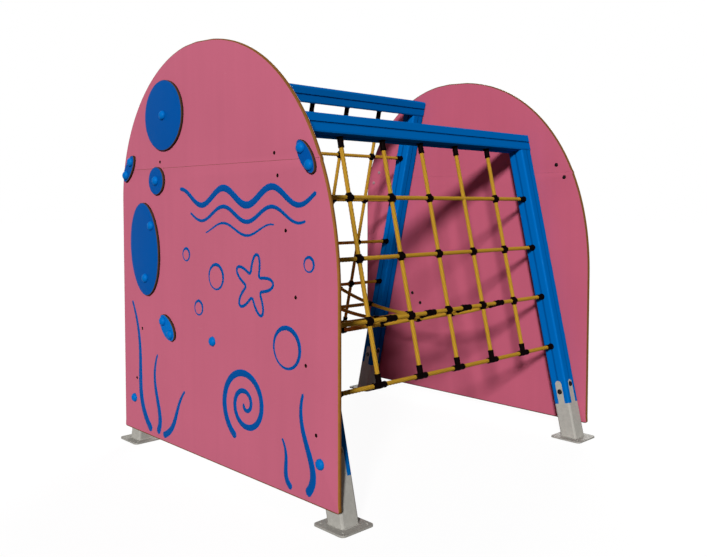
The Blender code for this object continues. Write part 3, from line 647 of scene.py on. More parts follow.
@dataclass(frozen=True)
class Slab:
    """A flat board with a rounded edge and holes, given by its outline in X and Z.

    The edge is a quarter circle at each face: at the angle t from the face, the outline lies
    rounding * (1 - sin t) further in and rounding * (1 - cos t) below the face. The faces are
    triangles between the outline and the holes.
    """

    outline: Array
    inner: float
    outer: float
    facing: int
    inner_rounding: Array
    outer_rounding: Array
    holes: tuple[Hole, ...] = ()
    steps: int = 5

    def surface(self) -> Surface:
        """The board as a closed surface."""
        turns = np.linspace(0, math.pi / 2, self.steps + 1)
        edge = []
        faces = ((self.inner, self.inner_rounding, 1), (self.outer, self.outer_rounding, -1))
        for face, rounding, way in faces:
            for turn in turns[::way]:
                flat = offset_outline(self.outline, rounding * (1 - math.sin(turn)))
                edge.append(self.lifted(flat, face + way * rounding * (1 - math.cos(turn))))
        walls = [edge]
        for hole in self.holes:
            levels = hole.levels(self.inner, self.outer)
            walls.append([self.lifted(hole.ring(radius), depth) for radius, depth in levels])
        quads, inner_rims, outer_rims, total = [], [], [], 0
        for wall in walls:
            count = len(wall[0])
            quads.append(grid_faces(len(wall), count) + total)
            inner_rims.append(np.arange(count) + total)
            total += len(wall) * count
            outer_rims.append(np.arange(count) + total - count)
        points = np.concatenate([ring for wall in walls for ring in wall])
        triangles = [self.filled(points, inner_rims)[:, ::-1], self.filled(points, outer_rims)]
        made = Surface(points, np.concatenate(quads), np.concatenate(triangles))
        return made if self.facing < 0 else made.flipped()

    def lifted(self, flat: Array, depth: float | Array) -> Array:
        """Points of the panel's plane at a depth from its inner face."""
        depth = np.broadcast_to(depth, len(flat))
        return np.stack([flat[:, 0], self.facing * (BOARD_INNER + depth), flat[:, 1]], -1)

    @staticmethod
    def filled(points: Array, rims: Sequence[Array]) -> Array:
        """Triangles between an outer rim and the rims of the holes in it.

        Args:
            points: All vertices.
            rims: Vertex numbers of each rim, the outer one first.

        Returns:
            Vertex numbers of the triangles, which run round as the outer rim does.
        """
        numbers = np.concatenate(rims)
        flat = [Vector(point) for point in points[numbers][:, [0, 2]].tolist()]
        edges, faces, start = [], [], 0
        for rim in rims:
            loop = list(range(start, start + len(rim)))
            edges += list(zip(loop, loop[1:] + loop[:1]))
            faces.append(loop[::-1] if start else loop)
            start += len(rim)
        made = delaunay_2d_cdt(flat, edges, faces, 1, 1e-7)
        inside = [face for face, owners in zip(made[2], made[5]) if owners == [0]]
        return numbers[np.array([[made[3][index][0] for index in face] for face in inside])]


@dataclass(frozen=True)
class Arch:
    """Outline of the arched panels."""

    half_width: float = 0.930
    bottom: float = 0.083
    top: float = 2.218
    crown: float = -0.138
    corner: float = 0.012
    above_corner: float = 0.025
    seam: float = 1.589
    seam_gap: float = 0.0004
    right: Place = (0.967, 2.17)
    left: Place = (1.416, 1.98)
    steps: int = 110
    least_step: float = 0.006
    square_at_seam: float = 0.004

    def side(self, sign: int, low: float, high: float) -> Array:
        """Points of one side of the arch from a height up to another.

        Straight up to the shoulder s, then a quarter of a superellipse with fullness n: at the angle
        t, the height is s + (top - s) sin(t)^(2/n) and the reach is (edge - crown) cos(t)^(2/n).

        Args:
            sign: 1 for the right side, -1 for the left side.
            low: Height of the first point.
            high: Height of the last point.

        Returns:
            The points as rows of X and Z.
        """
        shoulder, fullness = self.right if sign > 0 else self.left
        span = sign * self.half_width - self.crown
        angle = np.linspace(0, math.pi / 2, self.steps)
        height = shoulder + (self.top - shoulder) * np.sin(angle) ** (2 / fullness)
        inside = height[(height > low + self.least_step) & (height < high - self.least_step)]
        height = np.concatenate([[low], inside, [high]])
        share = np.clip((height - shoulder) / (self.top - shoulder), 0, 1)
        reach = self.crown + span * np.maximum(1 - share ** fullness, 0) ** (1 / fullness)
        return np.stack([reach, height], -1)

    def reach(self, sign: int, height: float) -> float:
        """Place along X of the arch's edge at a height."""
        return float(self.side(sign, height, self.top)[0, 0])

    def lower(self) -> tuple[Array, Array]:
        """Outline of the lower board, and how far its edge is rounded from 0 to 1."""
        turn = np.linspace(0, math.pi / 2, 6)
        inner, above = self.half_width - self.corner, self.bottom + self.corner
        low = np.stack([inner + self.corner * np.sin(turn), above - self.corner * np.cos(turn)], -1)
        low = np.concatenate([low, [[self.half_width, above + self.above_corner]]])
        right, left = (
            np.concatenate([low * (sign, 1), self.side(sign, above, self.seam - self.seam_gap / 2)[1:]])
            for sign in (1, -1)
        )
        outline = np.concatenate([right, left[::-1]])
        rounded = np.interp(outline[:, 1], [above, above + self.above_corner], [0.4, 1.0])
        return outline, np.where(outline[:, 1] < self.seam - self.square_at_seam, rounded, 0.0)

    def upper(self) -> tuple[Array, Array]:
        """Outline of the upper board, and 1 where its edge is rounded."""
        low = self.seam + self.seam_gap / 2
        outline = np.concatenate([self.side(1, low, self.top), self.side(-1, low, self.top)[-2::-1]])
        return outline, (outline[:, 1] > self.seam + self.square_at_seam).astype(float)


@dataclass(frozen=True)
class Oval:
    """A raised spot: its name, middle, length, width, tilt in degrees and the places of its bolts."""

    name: str
    place: Place
    length: float
    width: float
    tilt: float
    bolts: tuple[tuple[str, Place], ...]

    def outline(self) -> Array:
        """The ellipse (length / 2 cos t, width / 2 sin t), turned by the tilt about its middle."""
        turn = all_round(112)
        local = np.stack([self.length / 2 * np.cos(turn), self.width / 2 * np.sin(turn)], -1)
        tilt = math.radians(self.tilt)
        spin = np.array([[math.cos(tilt), math.sin(tilt)], [-math.sin(tilt), math.cos(tilt)]])
        return local @ spin + np.array(self.place)


def post_line(height: float) -> float:
    """Distance of the posts' middle line from the middle of the frame at a height."""
    return FOOT_SPREAD - height * math.tan(LEAN)


@dataclass
class Panel:
    """One arched end panel with its spots, caps, nuts and plugs."""

    end: str
    facing: int
    arch: Arch = field(default_factory=Arch)
    edge_round: float = 0.007
    least_inner: float = 0.01
    least_outer: float = 0.13
    spot_round: float = 0.0032
    spot_inner_round: float = 0.0006
    shank_hole: float = 0.005
    sunk_hole: float = 0.009
    plug_depth: float = 0.0007
    rail_heights: tuple[float, ...] = (0.392, 0.686, 0.980, 1.274)
    seam_fixing: float = 1.521
    above_seam_fixing: float = 1.623
    top_fixing: float = 1.870
    foot_fixing: float = 0.279 * math.cos(LEAN)

    def ovals(self) -> list[Oval]:
        """The six raised spots."""
        large = (-post_line(self.top_fixing), self.top_fixing)
        small = (-post_line(self.seam_fixing), self.seam_fixing)
        low, high = self.rail_heights[-2:]
        middle = (-post_line((low + high) / 2) - 0.045, (low + high) / 2 + 0.015)
        found = [
            Oval("large_spot", large, 0.376, 0.376, 0, (("large_spot_cap", large),)),
            Oval("small_spot", small, 0.152, 0.152, 0, (("small_spot_cap", small),)),
            Oval("large_oval", middle, 0.522, 0.302, 96, (
                ("large_oval_upper_cap", (-post_line(high), high)),
                ("large_oval_lower_cap", (-post_line(low), low)),
            )),
        ]
        height = self.arch.seam + 0.008
        right, left = (self.arch.reach(sign, height) - sign * 0.079 for sign in (1, -1))
        for name, (x, z), length, width, tilt, spacing in (
            ("small_oval", (-0.426, 0.724), 0.174, 0.102, 139.0, 0.100),
            ("right_strip", (right, height), 0.176, 0.078, -54.0, 0.094),
            ("left_strip", (left, height), 0.176, 0.078, 53.0, 0.094),
        ):
            angle = math.radians(tilt)
            rise = spacing / 2 * abs(math.sin(angle))
            run = spacing / 2 * math.cos(angle) * math.copysign(1, math.sin(angle))
            bolts = ((name + "_upper_cap", (x + run, z + rise)), (name + "_lower_cap", (x - run, z - rise)))
            found.append(Oval(name, (x, z), length, width, tilt, bolts))
        return found

    def caps(self) -> list[tuple[str, Place, float, bool]]:
        """Name, place, seat and whether a post's bolt is under it, for each cap."""
        foot = post_line(self.foot_fixing)
        found = [
            ("left_foot_cap", (-foot, self.foot_fixing), BOARD_THICKNESS, True),
            ("right_foot_cap", (foot, self.foot_fixing), BOARD_THICKNESS, True),
            ("middle_cap", (-0.004, 0.702), BOARD_THICKNESS, False),
        ]
        for oval in self.ovals():
            over_post = oval.name in ("large_spot", "small_spot", "large_oval")
            found += [(name, place, SPOT_FACE, over_post) for name, place in oval.bolts]
        return found

    def plain_hole(self, place: Place) -> Hole:
        """The hole for a bolt's shank."""
        return Hole(place, self.shank_hole, self.shank_hole)

    def sunk_holes(self) -> list[Hole]:
        """The counterbored holes of the bolts that hold the boards on the posts."""
        right = self.rail_heights + (self.seam_fixing, self.above_seam_fixing)
        left = self.rail_heights[:2] + (self.above_seam_fixing,)
        places = [(post_line(height), height) for height in right]
        places += [(-post_line(height), height) for height in left]
        return [Hole(place, self.shank_hole, self.sunk_hole) for place in places]

    def outward(self) -> Array:
        """Axes of what is turned about a line square to the panel."""
        return axes_along((0, self.facing, 0), ALONG_X)

    def point(self, place: Place, depth: float = 0.0) -> Array:
        """Point at a depth from the boards' inner face."""
        return np.array([place[0], self.facing * (BOARD_INNER + depth), place[1]])

    def build_boards(self, finish: Material) -> None:
        """The lower and the upper board."""
        holes = [self.plain_hole(place) for _, place, _, _ in self.caps()] + self.sunk_holes()
        for part, (outline, rounded) in (("lower", self.arch.lower()), ("upper", self.arch.upper())):
            here = tuple(hole for hole in holes if (hole.place[1] < self.arch.seam) == (part == "lower"))
            inner = self.edge_round * np.maximum(rounded, self.least_inner)
            outer = self.edge_round * np.maximum(rounded, self.least_outer)
            slab = Slab(outline, 0, BOARD_THICKNESS, self.facing, inner, outer, here)
            name = f"{self.end}_{part}_board"
            build_piece(f"{name}_smooth", slab.surface(), finish, [name])

    def build_spots(self, finish: Material, bright: Material) -> None:
        """The raised spots with their rounded outer edges, the small oval in a brighter blue."""
        for oval in self.ovals():
            outline = oval.outline()
            fine = np.full(len(outline), self.spot_inner_round)
            rounded = np.full(len(outline), self.spot_round)
            holes = tuple(self.plain_hole(place) for _, place in oval.bolts)
            slab = Slab(outline, SPOT_SEAT, SPOT_FACE, self.facing, fine, rounded, holes)
            name = f"{self.end}_{oval.name}"
            blue = bright if oval.name == "small_oval" else finish
            build_piece(f"{name}_smooth", slab.surface(), blue, [name])

    def build_plugs(self, finish: Material) -> None:
        """Near-black plugs over the sunk bolts, a little below the outer face and dished in the middle; they
        paint the holes' shade.
        """
        face = BOARD_THICKNESS - self.plug_depth
        profile = [(0.0084, face - 0.0014), (0.0089, face - 0.0012), (0.0089, face - 0.0003), (0.0086, face)]
        plug = turned(profile + [(0.0060, face - 0.0002), (0.0030, face - 0.0012)], 28)
        plugs = [plug.placed(self.outward(), self.point(hole.place)) for hole in self.sunk_holes()]
        build_piece(f"{self.end}_hole_plugs", joined(plugs), finish)

    def build_caps(self, finish: Material, dark: Material, zinc: Material) -> None:
        """The domed caps, and the nuts of those that carry their own bolt, pale ones at the left strip.

        The dome is (0.025 cos(t)^0.9, 0.0016 + 0.0174 sin(t)) at the angle t, above a short rim.
        """
        turn = np.linspace(0, math.radians(86), 13)
        dome = list(zip(0.025 * np.cos(turn) ** 0.9, 0.0016 + 0.0174 * np.sin(turn)))
        shape = turned([(0.0235, FIT), (0.0245, FIT), (0.025, 0.0008)] + dome, 40)
        inside = joined([
            turned([(0.0088, -0.0074), (0.0098, -0.0064), (0.0098, -0.0012), (0.0088, -0.0003)], 6),
            turned([(0.0115, -0.0014), (0.0120, -0.0010), (0.0120, -0.0003), (0.0115, -0.0001)], 28),
            turned([(0.0030, -0.0105), (0.0040, -0.0098), (0.0040, BOARD_THICKNESS)], 16),
        ])
        nuts: dict[str, list[Surface]] = {"cap_nuts": [], "left_strip_nuts": []}
        for name, place, seat, over_post in self.caps():
            node = f"{self.end}_{name}"
            made = shape.placed(self.outward(), self.point(place, seat))
            build_piece(f"{node}_dome", made, finish, [node])
            if not over_post:
                row = "left_strip_nuts" if name.startswith("left_strip") else "cap_nuts"
                nuts[row].append(inside.placed(self.outward(), self.point(place)))
        for (row, made), steel in zip(nuts.items(), (dark, zinc)):
            build_piece(f"{self.end}_{row}", joined(made), steel)


@dataclass(frozen=True)
class Stroke:
    """A painted stroke: points of its middle line in X and Z, its width and whether it is a loop."""

    line: Array
    width: Array
    loop: bool = False

    def ribbon(self, facing: int) -> Surface:
        """A thin raised ribbon along the stroke, on the outer face of a panel.

        Its profile across the width w is flat, with its top 0.35 mm above the board, falls to the
        board at both sides, and has its underside just inside the board. The width is brought to
        nothing at the two ends by w sqrt(1 - (1 - s / (w / 2))^2), with s the distance to the end,
        which rounds them.
        """
        line = self.line
        chord = chords(line) if self.loop else unit(np.gradient(line, axis=0))
        side = np.stack([chord[:, 1], 0 * chord[:, 0], -chord[:, 0]], -1)
        up = np.tile([0.0, facing, 0.0], (len(line), 1))
        half = self.width / 2
        if not self.loop:
            length = walked(line)
            to_end = np.minimum(length, length[-1] - length)
            share = np.clip(1 - to_end / np.maximum(half, 1e-4), 0, 1)
            half = half * np.sqrt(np.maximum(1 - share ** 2, 0)) + 1e-5
        across = half[:, None] * np.array([-1, -0.97, 0, 0.97, 1, 0.5, -0.5])
        height = np.array([-0.05, 0.35, 0.35, 0.35, -0.05, -0.3, -0.3]) / 1000
        face = np.full(len(line), facing * (BOARD_INNER + BOARD_THICKNESS))
        path = np.stack([line[:, 0], face, line[:, 1]], -1)
        made = carried(path, side, up, across, np.tile(height, (len(line), 1)), self.loop)
        return made.flipped() if facing > 0 else made


def bezier(corners: Sequence[Place]) -> Array:
    """Cubic curve (1-t)^3 a + 3 (1-t)^2 t b + 3 (1-t) t^2 c + t^3 d between its four corners."""
    share = np.linspace(0, 1, 90)[:, None]
    a, b, c, d = np.array(corners, float)
    rest = 1 - share
    return rest ** 3 * a + 3 * rest ** 2 * share * b + 3 * rest * share ** 2 * c + share ** 3 * d


@dataclass
class SeaPicture:
    """A plain picture of waves, bubbles, a spiral shell, a starfish and weed, painted in blue strokes."""

    thick: float = 0.036
    thin: float = 0.014
    wave_pitch: float = 0.385

    def wave(self, low: float, high: float, level: float, swing: float, width: float) -> Stroke:
        """A wave line: height level + swing sin(2 pi x / pitch), with its width swelling in the middle."""
        x = np.linspace(low, high, 220)
        z = level + swing * np.sin(2 * math.pi * x / self.wave_pitch)
        share = (x - low) / (high - low)
        return Stroke(np.stack([x, z], -1), width * (0.55 + 0.45 * np.sin(math.pi * share)))

    def bubble(self, x: float, z: float, radius: float, width: float) -> Stroke:
        """A ring, thicker on one side."""
        turn = all_round(96)
        line = np.array((x, z)) + circle(radius, turn).T
        return Stroke(line, width * (0.8 + 0.3 * np.cos(turn - 0.9)), loop=True)

    def shell(self, x: float, z: float, radius: float, turns: float) -> Stroke:
        """A spiral whose radius grows as radius (a / whole)^1.15 with the angle a."""
        share = np.linspace(0.06, 1, 420)
        angle = share * turns * 2 * math.pi + 2.1
        reach = radius * share ** 1.15
        line = np.array((x, z)) + circle(reach, angle).T
        return Stroke(line, self.thick * (0.45 + 0.60 * share))

    def star(self, x: float, z: float, radius: float) -> Stroke:
        """A starfish outline with the reach radius (0.42 + 0.58 ((1 + cos 5a) / 2)^1.3) at the angle a."""
        turn = all_round(300)
        reach = radius * (0.42 + 0.58 * ((1 + np.cos(5 * turn)) / 2) ** 1.3)
        line = np.stack([x + reach * np.sin(turn + 0.2), z + reach * np.cos(turn + 0.2)], -1)
        return Stroke(line[::-1], np.full(len(line), self.thin * 1.1), loop=True)

    def frond(self, corners: Sequence[Place], width: float) -> Stroke:
        """A leaf of weed that narrows to its tip."""
        line = bezier(corners)
        share = np.linspace(0, 1, len(line))
        return Stroke(line, width * (1 - 0.62 * share ** 1.8))

    def strokes(self) -> list[Stroke]:
        """Every stroke of the picture, as seen from the front."""
        return [
            self.wave(-0.30, 0.79, 1.430, 0.042, self.thick),
            self.wave(-0.20, 0.72, 1.345, 0.036, self.thin * 1.6),
            self.wave(-0.06, 0.50, 1.272, 0.028, self.thin),
            self.star(0.340, 1.010, 0.150),
            self.shell(0.270, 0.430, 0.190, 2.35),
            self.bubble(0.030, 1.030, 0.062, 0.017),
            self.bubble(0.585, 0.745, 0.092, 0.022),
            self.bubble(-0.130, 0.860, 0.036, self.thin),
            self.bubble(0.740, 1.130, 0.032, self.thin),
            self.bubble(-0.245, 1.130, 0.032, self.thin),
            self.frond([(-0.62, 0.115), (-0.86, 0.30), (-0.64, 0.52), (-0.83, 0.84)], 0.046),
            self.frond([(-0.56, 0.115), (-0.46, 0.24), (-0.66, 0.36), (-0.55, 0.56)], 0.040),
            self.frond([(-0.50, 0.115), (-0.34, 0.17), (-0.38, 0.30), (-0.27, 0.40)], 0.036),
            self.frond([(0.72, 0.115), (0.86, 0.24), (0.62, 0.36), (0.70, 0.56)], 0.042),
            self.frond([(0.62, 0.115), (0.53, 0.16), (0.62, 0.24), (0.55, 0.33)], 0.032),
        ]

    def build(self, end: str, facing: int, finish: Material) -> None:
        """The picture on one panel."""
        surface = joined([stroke.ribbon(facing) for stroke in self.strokes()])
        build_piece(f"{end}_picture", surface, finish, sharp=60)


@dataclass
class Plane:
    """The leaning plane of one side of the frame, in which its net lies."""

    name: str
    sign: int
    beam_height: float
    rows: int

    def up(self) -> Array:
        """Direction up the plane."""
        return np.array([-self.sign * math.sin(LEAN), 0.0, math.cos(LEAN)])

    def outward(self) -> Array:
        """Direction square to the plane, away from the middle of the frame."""
        return np.array([self.sign * math.cos(LEAN), 0.0, math.sin(LEAN)])

    def point(self, y: float, distance: float) -> Array:
        """Point at a place along Y and a distance up the plane."""
        return np.array([self.sign * FOOT_SPREAD, y, 0.0]) + distance * self.up()

    def beam_line(self) -> float:
        """Distance up the plane to the middle of the beam."""
        return self.beam_height / math.cos(LEAN)

    def row_heights(self) -> list[float]:
        """Distances up the plane of the level ropes."""
        return [LOWEST_ROW + index * ROW_PITCH for index in range(self.rows)]


@dataclass(frozen=True)
class Rope:
    """Six twisted strands round a core.

    At the distance s along the rope, the point with the turn a lies at the angle
    2 pi (a + s / lay) and the radius ROPE_RADIUS f(a), with f 1 on a strand's crest and 0.74
    between two strands.
    """

    strands: int = 6
    lay: float = 0.125
    ring_spacing: float = 0.0065
    shape: tuple[float, ...] = (1.0, 0.945, 0.74, 0.945)

    def along(self, path: Array, hint: Array) -> Surface:
        """The rope along a path.

        Args:
            path: Closely spaced points.
            hint: A direction that is nowhere along the path.

        Returns:
            The rope with its map.
        """
        far = walked(path)
        rings = max(int(round(far[-1] / self.ring_spacing)), 2)
        length = np.linspace(0, far[-1], rings + 1)
        path = np.stack([np.interp(length, far, path[:, axis]) for axis in range(3)], -1)
        tangent = unit(np.gradient(path, axis=0))
        second = unit(np.cross(tangent, hint))
        columns = self.strands * len(self.shape)
        radius = ROPE_RADIUS * np.tile(self.shape, self.strands)
        angle = 2 * math.pi * (np.arange(columns) / columns + length[:, None] / self.lay)
        made = carried(path, np.cross(second, tangent), second, *circle(radius, angle))
        made.lay = self.map(rings + 1, columns, length)
        return made

    def map(self, rows: int, columns: int, length: Array) -> Array:
        """Turn and length at every face corner, first of the sides and then of the two ends."""
        row, column = np.meshgrid(np.arange(rows - 1), np.arange(columns), indexing="ij")
        turns = np.stack([column, column + 1, column + 1, column], -1) / columns
        lengths = length[np.stack([row, row, row + 1, row + 1], -1)]
        sides = np.stack([turns, lengths], -1).reshape(-1, 2)
        return np.concatenate([sides, np.zeros((6 * columns, 2))])


@dataclass(frozen=True)
class Arm:
    """An arm of a connector: its direction in the connector's own X and Y, and its length."""

    x: float
    y: float
    length: float = CROSS_REACH

    def direction(self) -> Array:
        """The arm's direction."""
        return np.array([self.x, self.y, 0.0])


@dataclass(frozen=True)
class Hub:
    """The moulded middle of a connector, where its arms flow into each other.

    Each arm is a short rounded cylinder given by its distance field d. The hub is where
    -k log(sum(exp(-d / k))) is 0, which blends the arms with fillets. Along each direction from the
    middle the place of that zero is found by halving, on a grid of the angle round Z and the height.
    """

    radius: float
    corner: float
    blend: float = 0.0016
    around: int = 48
    rows: int = 23
    search: float = 0.09
    halvings: int = 26
    overshoot: float = 0.35

    def surface(self, arms: Sequence[Arm]) -> Surface:
        """The hub of these arms as a closed surface round the origin."""
        tilt = np.linspace(-math.pi / 2, math.pi / 2, self.rows + 2)[1:-1]
        turn, tilt = np.meshgrid(all_round(self.around), tilt)
        rays = np.stack([np.cos(tilt) * np.cos(turn), np.cos(tilt) * np.sin(turn), np.sin(tilt)], -1)
        rays = np.concatenate([rays.reshape(-1, 3), [[0, 0, -1], [0, 0, 1]]])
        low, high = np.zeros(len(rays)), np.full(len(rays), self.search)
        for _ in range(self.halvings):
            middle = (low + high) / 2
            within = self.field(rays * middle[:, None], arms) < 0
            low, high = np.where(within, middle, low), np.where(within, high, middle)
        faces = grid_faces(self.rows, self.around), grid_ends(self.rows, self.around)
        return Surface(rays * low[:, None], *faces)

    def field(self, points: Array, arms: Sequence[Arm]) -> Array:
        """Blended distance to the arms, less than 0 inside."""
        total = np.zeros(len(points))
        for arm in arms:
            along = points @ arm.direction()
            aside = np.sqrt(np.maximum((points ** 2).sum(1) - along ** 2, 0))
            half = arm.length / 2
            beside = aside - (self.radius - self.corner)
            beyond = np.abs(along - half) - (half + self.radius * self.overshoot - self.corner)
            outside = np.hypot(np.maximum(beside, 0), np.maximum(beyond, 0))
            distance = outside + np.minimum(np.maximum(beside, beyond), 0) - self.corner
            total += np.exp(np.clip(-distance / self.blend, -60, 60))
        return -self.blend * np.log(np.maximum(total, 1e-26))


def sleeve(start: float, end: float, flange: bool = False) -> Surface:
    """A round sleeve along Z from start to end whose mouth narrows to the rope with a rounded lip."""
    radius = SLEEVE_RADIUS
    profile = [(radius - 0.0004, start)]
    if flange:
        profile = [(radius + 0.0035, start), (radius + 0.0041, start + 0.0006)]
        profile += [(radius + 0.0041, start + 0.0032), (radius + 0.0033, start + 0.0040)]
        profile += [(radius + 0.0012, start + 0.0044), (radius + 0.0002, start + 0.0060)]
    profile += [(radius, start + 0.0100), (radius, end - 0.0100), (radius + 0.0009, end - 0.0092)]
    profile += [(radius + 0.0009, end - 0.0022), (radius + 0.0002, end - 0.0006), (radius - 0.0009, end)]
    return turned(profile + [(ROPE_RADIUS + 0.0004, end), (ROPE_RADIUS - 0.0016, end - 0.0012)], 24)


class Connector(Enum):
    """The kinds of moulded connector, as arms in the connector's own X and Y."""

    CROSS = (Arm(1, 0), Arm(-1, 0), Arm(0, 1), Arm(0, -1))
    LEFT_CROSS = (Arm(1, 0), Arm(-1, 0), Arm(0, -1))
    RIGHT_CROSS = (Arm(1, 0), Arm(-1, 0), Arm(0, 1))
    TEE = (Arm(1, 0, 0.042), Arm(-1, 0, 0.042), Arm(0, 1, 0.054))
    BRIDGE_TEE = (Arm(1, 0, 0.037), Arm(-1, 0, 0.037), Arm(0, 1, BRIDGE_ARM))

    def surface(self) -> Surface:
        """The connector round the origin: a tee has sleeves on its hub and a cross a pin on each side."""
        if self in (Connector.TEE, Connector.BRIDGE_TEE):
            hub = Hub(radius=SLEEVE_RADIUS + 0.0004, corner=0.0040)
            parts = [hub.surface([Arm(arm.x, arm.y, length=0.016) for arm in self.value])]
            for arm in self.value:
                axes = axes_along(arm.direction(), ALONG_Z)
                parts.append(sleeve(0.010, arm.length).placed(axes, np.zeros(3)))
            return joined(parts)
        hub = Hub(radius=0.0158, corner=0.0042)
        hub = hub.surface([Arm(arm.x, arm.y, arm.length - 0.0055) for arm in self.value])
        outline = [(0.0050, 0.0120), (0.0050, 0.0170), (0.0044, 0.0176), (0.0029, 0.0177), (0.0025, 0.0168)]
        pin = turned(outline, 16)
        return joined([hub, pin, pin.placed(np.diag([1.0, -1.0, -1.0]), np.zeros(3))])


@dataclass
class Net:
    """Ropes and connectors of one net, collected before they become two pieces."""

    name: str
    rope: Rope = field(default_factory=Rope)
    ropes: list[Surface] = field(default_factory=list)
    fittings: list[Surface] = field(default_factory=list)

    def add_rope(self, first: Array, last: Array, hint: Array) -> None:
        """Add a straight rope between two points."""
        share = np.linspace(0, 1, 60)[:, None]
        self.ropes.append(self.rope.along(first + share * (last - first), hint))

    def add_fitting(self, kind: Connector, centre: Array, x_axis: Array, y_axis: Array) -> None:
        """Add a connector with its own X and Y along two directions."""
        axes = np.array([x_axis, y_axis, np.cross(x_axis, y_axis)])
        self.fittings.append(kind.surface().placed(axes, centre))

    def add_end(self, face: Array, inward: Array, length: float) -> None:
        """Add the sleeve that holds a rope's end on a face."""
        hint = ALONG_Y if abs(inward[1]) < 0.5 else ALONG_Z
        self.fittings.append(sleeve(FIT, length, flange=True).placed(axes_along(inward, hint), face))

    def build(self, rope_finish: Material, black: Material) -> None:
        """The net's two pieces."""
        node = f"{self.name}_net"
        build_piece(f"{node}_ropes", joined(self.ropes), rope_finish, [node], sharp=80)
        build_piece(f"{node}_connectors", joined(self.fittings), black, [node], sharp=42)


def side_net(plane: Plane, plain_crossings: Sequence[tuple[int, int]]) -> Net:
    """The net of one side.

    Args:
        plane: The side's leaning plane.
        plain_crossings: Row and column of crossings that have no connector.

    Returns:
        The net.
    """
    net = Net(plane.name)
    under_beam = plane.beam_line() - SECTION / 2
    heights = plane.row_heights()
    for number, y in enumerate(COLUMN_PLACES):
        net.add_rope(plane.point(y, heights[0]), plane.point(y, under_beam - HELD_LENGTH), plane.outward())
        net.add_fitting(Connector.TEE, plane.point(y, heights[0]), ALONG_Y, plane.up())
        for row, height in list(enumerate(heights))[1:]:
            if (row, number) not in plain_crossings:
                net.add_fitting(Connector.CROSS, plane.point(y, height), ALONG_Y, plane.up())
        net.add_end(plane.point(y, under_beam), -plane.up(), BEAM_SLEEVE)
    for height in heights:
        near, far = (plane.point(sign * POST_INNER_FACE, height) for sign in (-1, 1))
        net.add_rope(near + HELD_LENGTH * ALONG_Y, far - HELD_LENGTH * ALONG_Y, plane.outward())
        net.add_end(near, ALONG_Y, POST_SLEEVE)
        net.add_end(far, -ALONG_Y, POST_SLEEVE)
    away = np.array([-plane.sign * math.cos(BRIDGE_SLOPE), 0.0, -math.sin(BRIDGE_SLOPE)])
    for y in BRIDGE_PLACES:
        net.add_fitting(Connector.BRIDGE_TEE, plane.point(y, heights[1]), ALONG_Y, away)
    return net


def bridge_net() -> Net:
    """The net between the two sides.

    Between its tees a cross rope's height is low + curve x^2, with curve set so that the rope
    leaves each tee along the tee's arm.
    """
    net = Net("bridge")
    row = LOWEST_ROW + ROW_PITCH
    hang_x = FOOT_SPREAD - row * math.sin(LEAN)
    end_x = hang_x - BRIDGE_ARM * math.cos(BRIDGE_SLOPE)
    end_z = row * math.cos(LEAN) - BRIDGE_ARM * math.sin(BRIDGE_SLOPE)
    curve = math.tan(BRIDGE_SLOPE) / (2 * end_x)
    low = end_z - curve * end_x ** 2

    def point(x: Array | float, y: float) -> Array:
        """Points of a cross rope: the parabola, and its tangent beyond the tees' arms."""
        beyond = end_z + (np.abs(x) - end_x) * math.tan(BRIDGE_SLOPE)
        height = np.where(np.abs(x) < end_x, low + curve * x ** 2, beyond)
        return np.stack([x, np.full_like(x, y), height], -1)

    kinds = [Connector.RIGHT_CROSS] + [Connector.CROSS] * (len(BRIDGE_PLACES) - 2) + [Connector.LEFT_CROSS]
    inner_x = hang_x - HELD_IN_TEE * math.cos(BRIDGE_SLOPE)
    knots = (-hang_x / 2, 0.0, hang_x / 2)
    for y, kind in zip(BRIDGE_PLACES, kinds):
        net.ropes.append(net.rope.along(point(np.linspace(-inner_x, inner_x, 160), y), ALONG_Y))
        for knot in knots:
            net.add_fitting(kind, point(knot, y), unit(np.array([1.0, 0.0, 2 * curve * knot])), ALONG_Y)
    for knot in knots:
        net.add_rope(point(knot, BRIDGE_PLACES[0]), point(knot, BRIDGE_PLACES[-1]), ALONG_X)
    return net


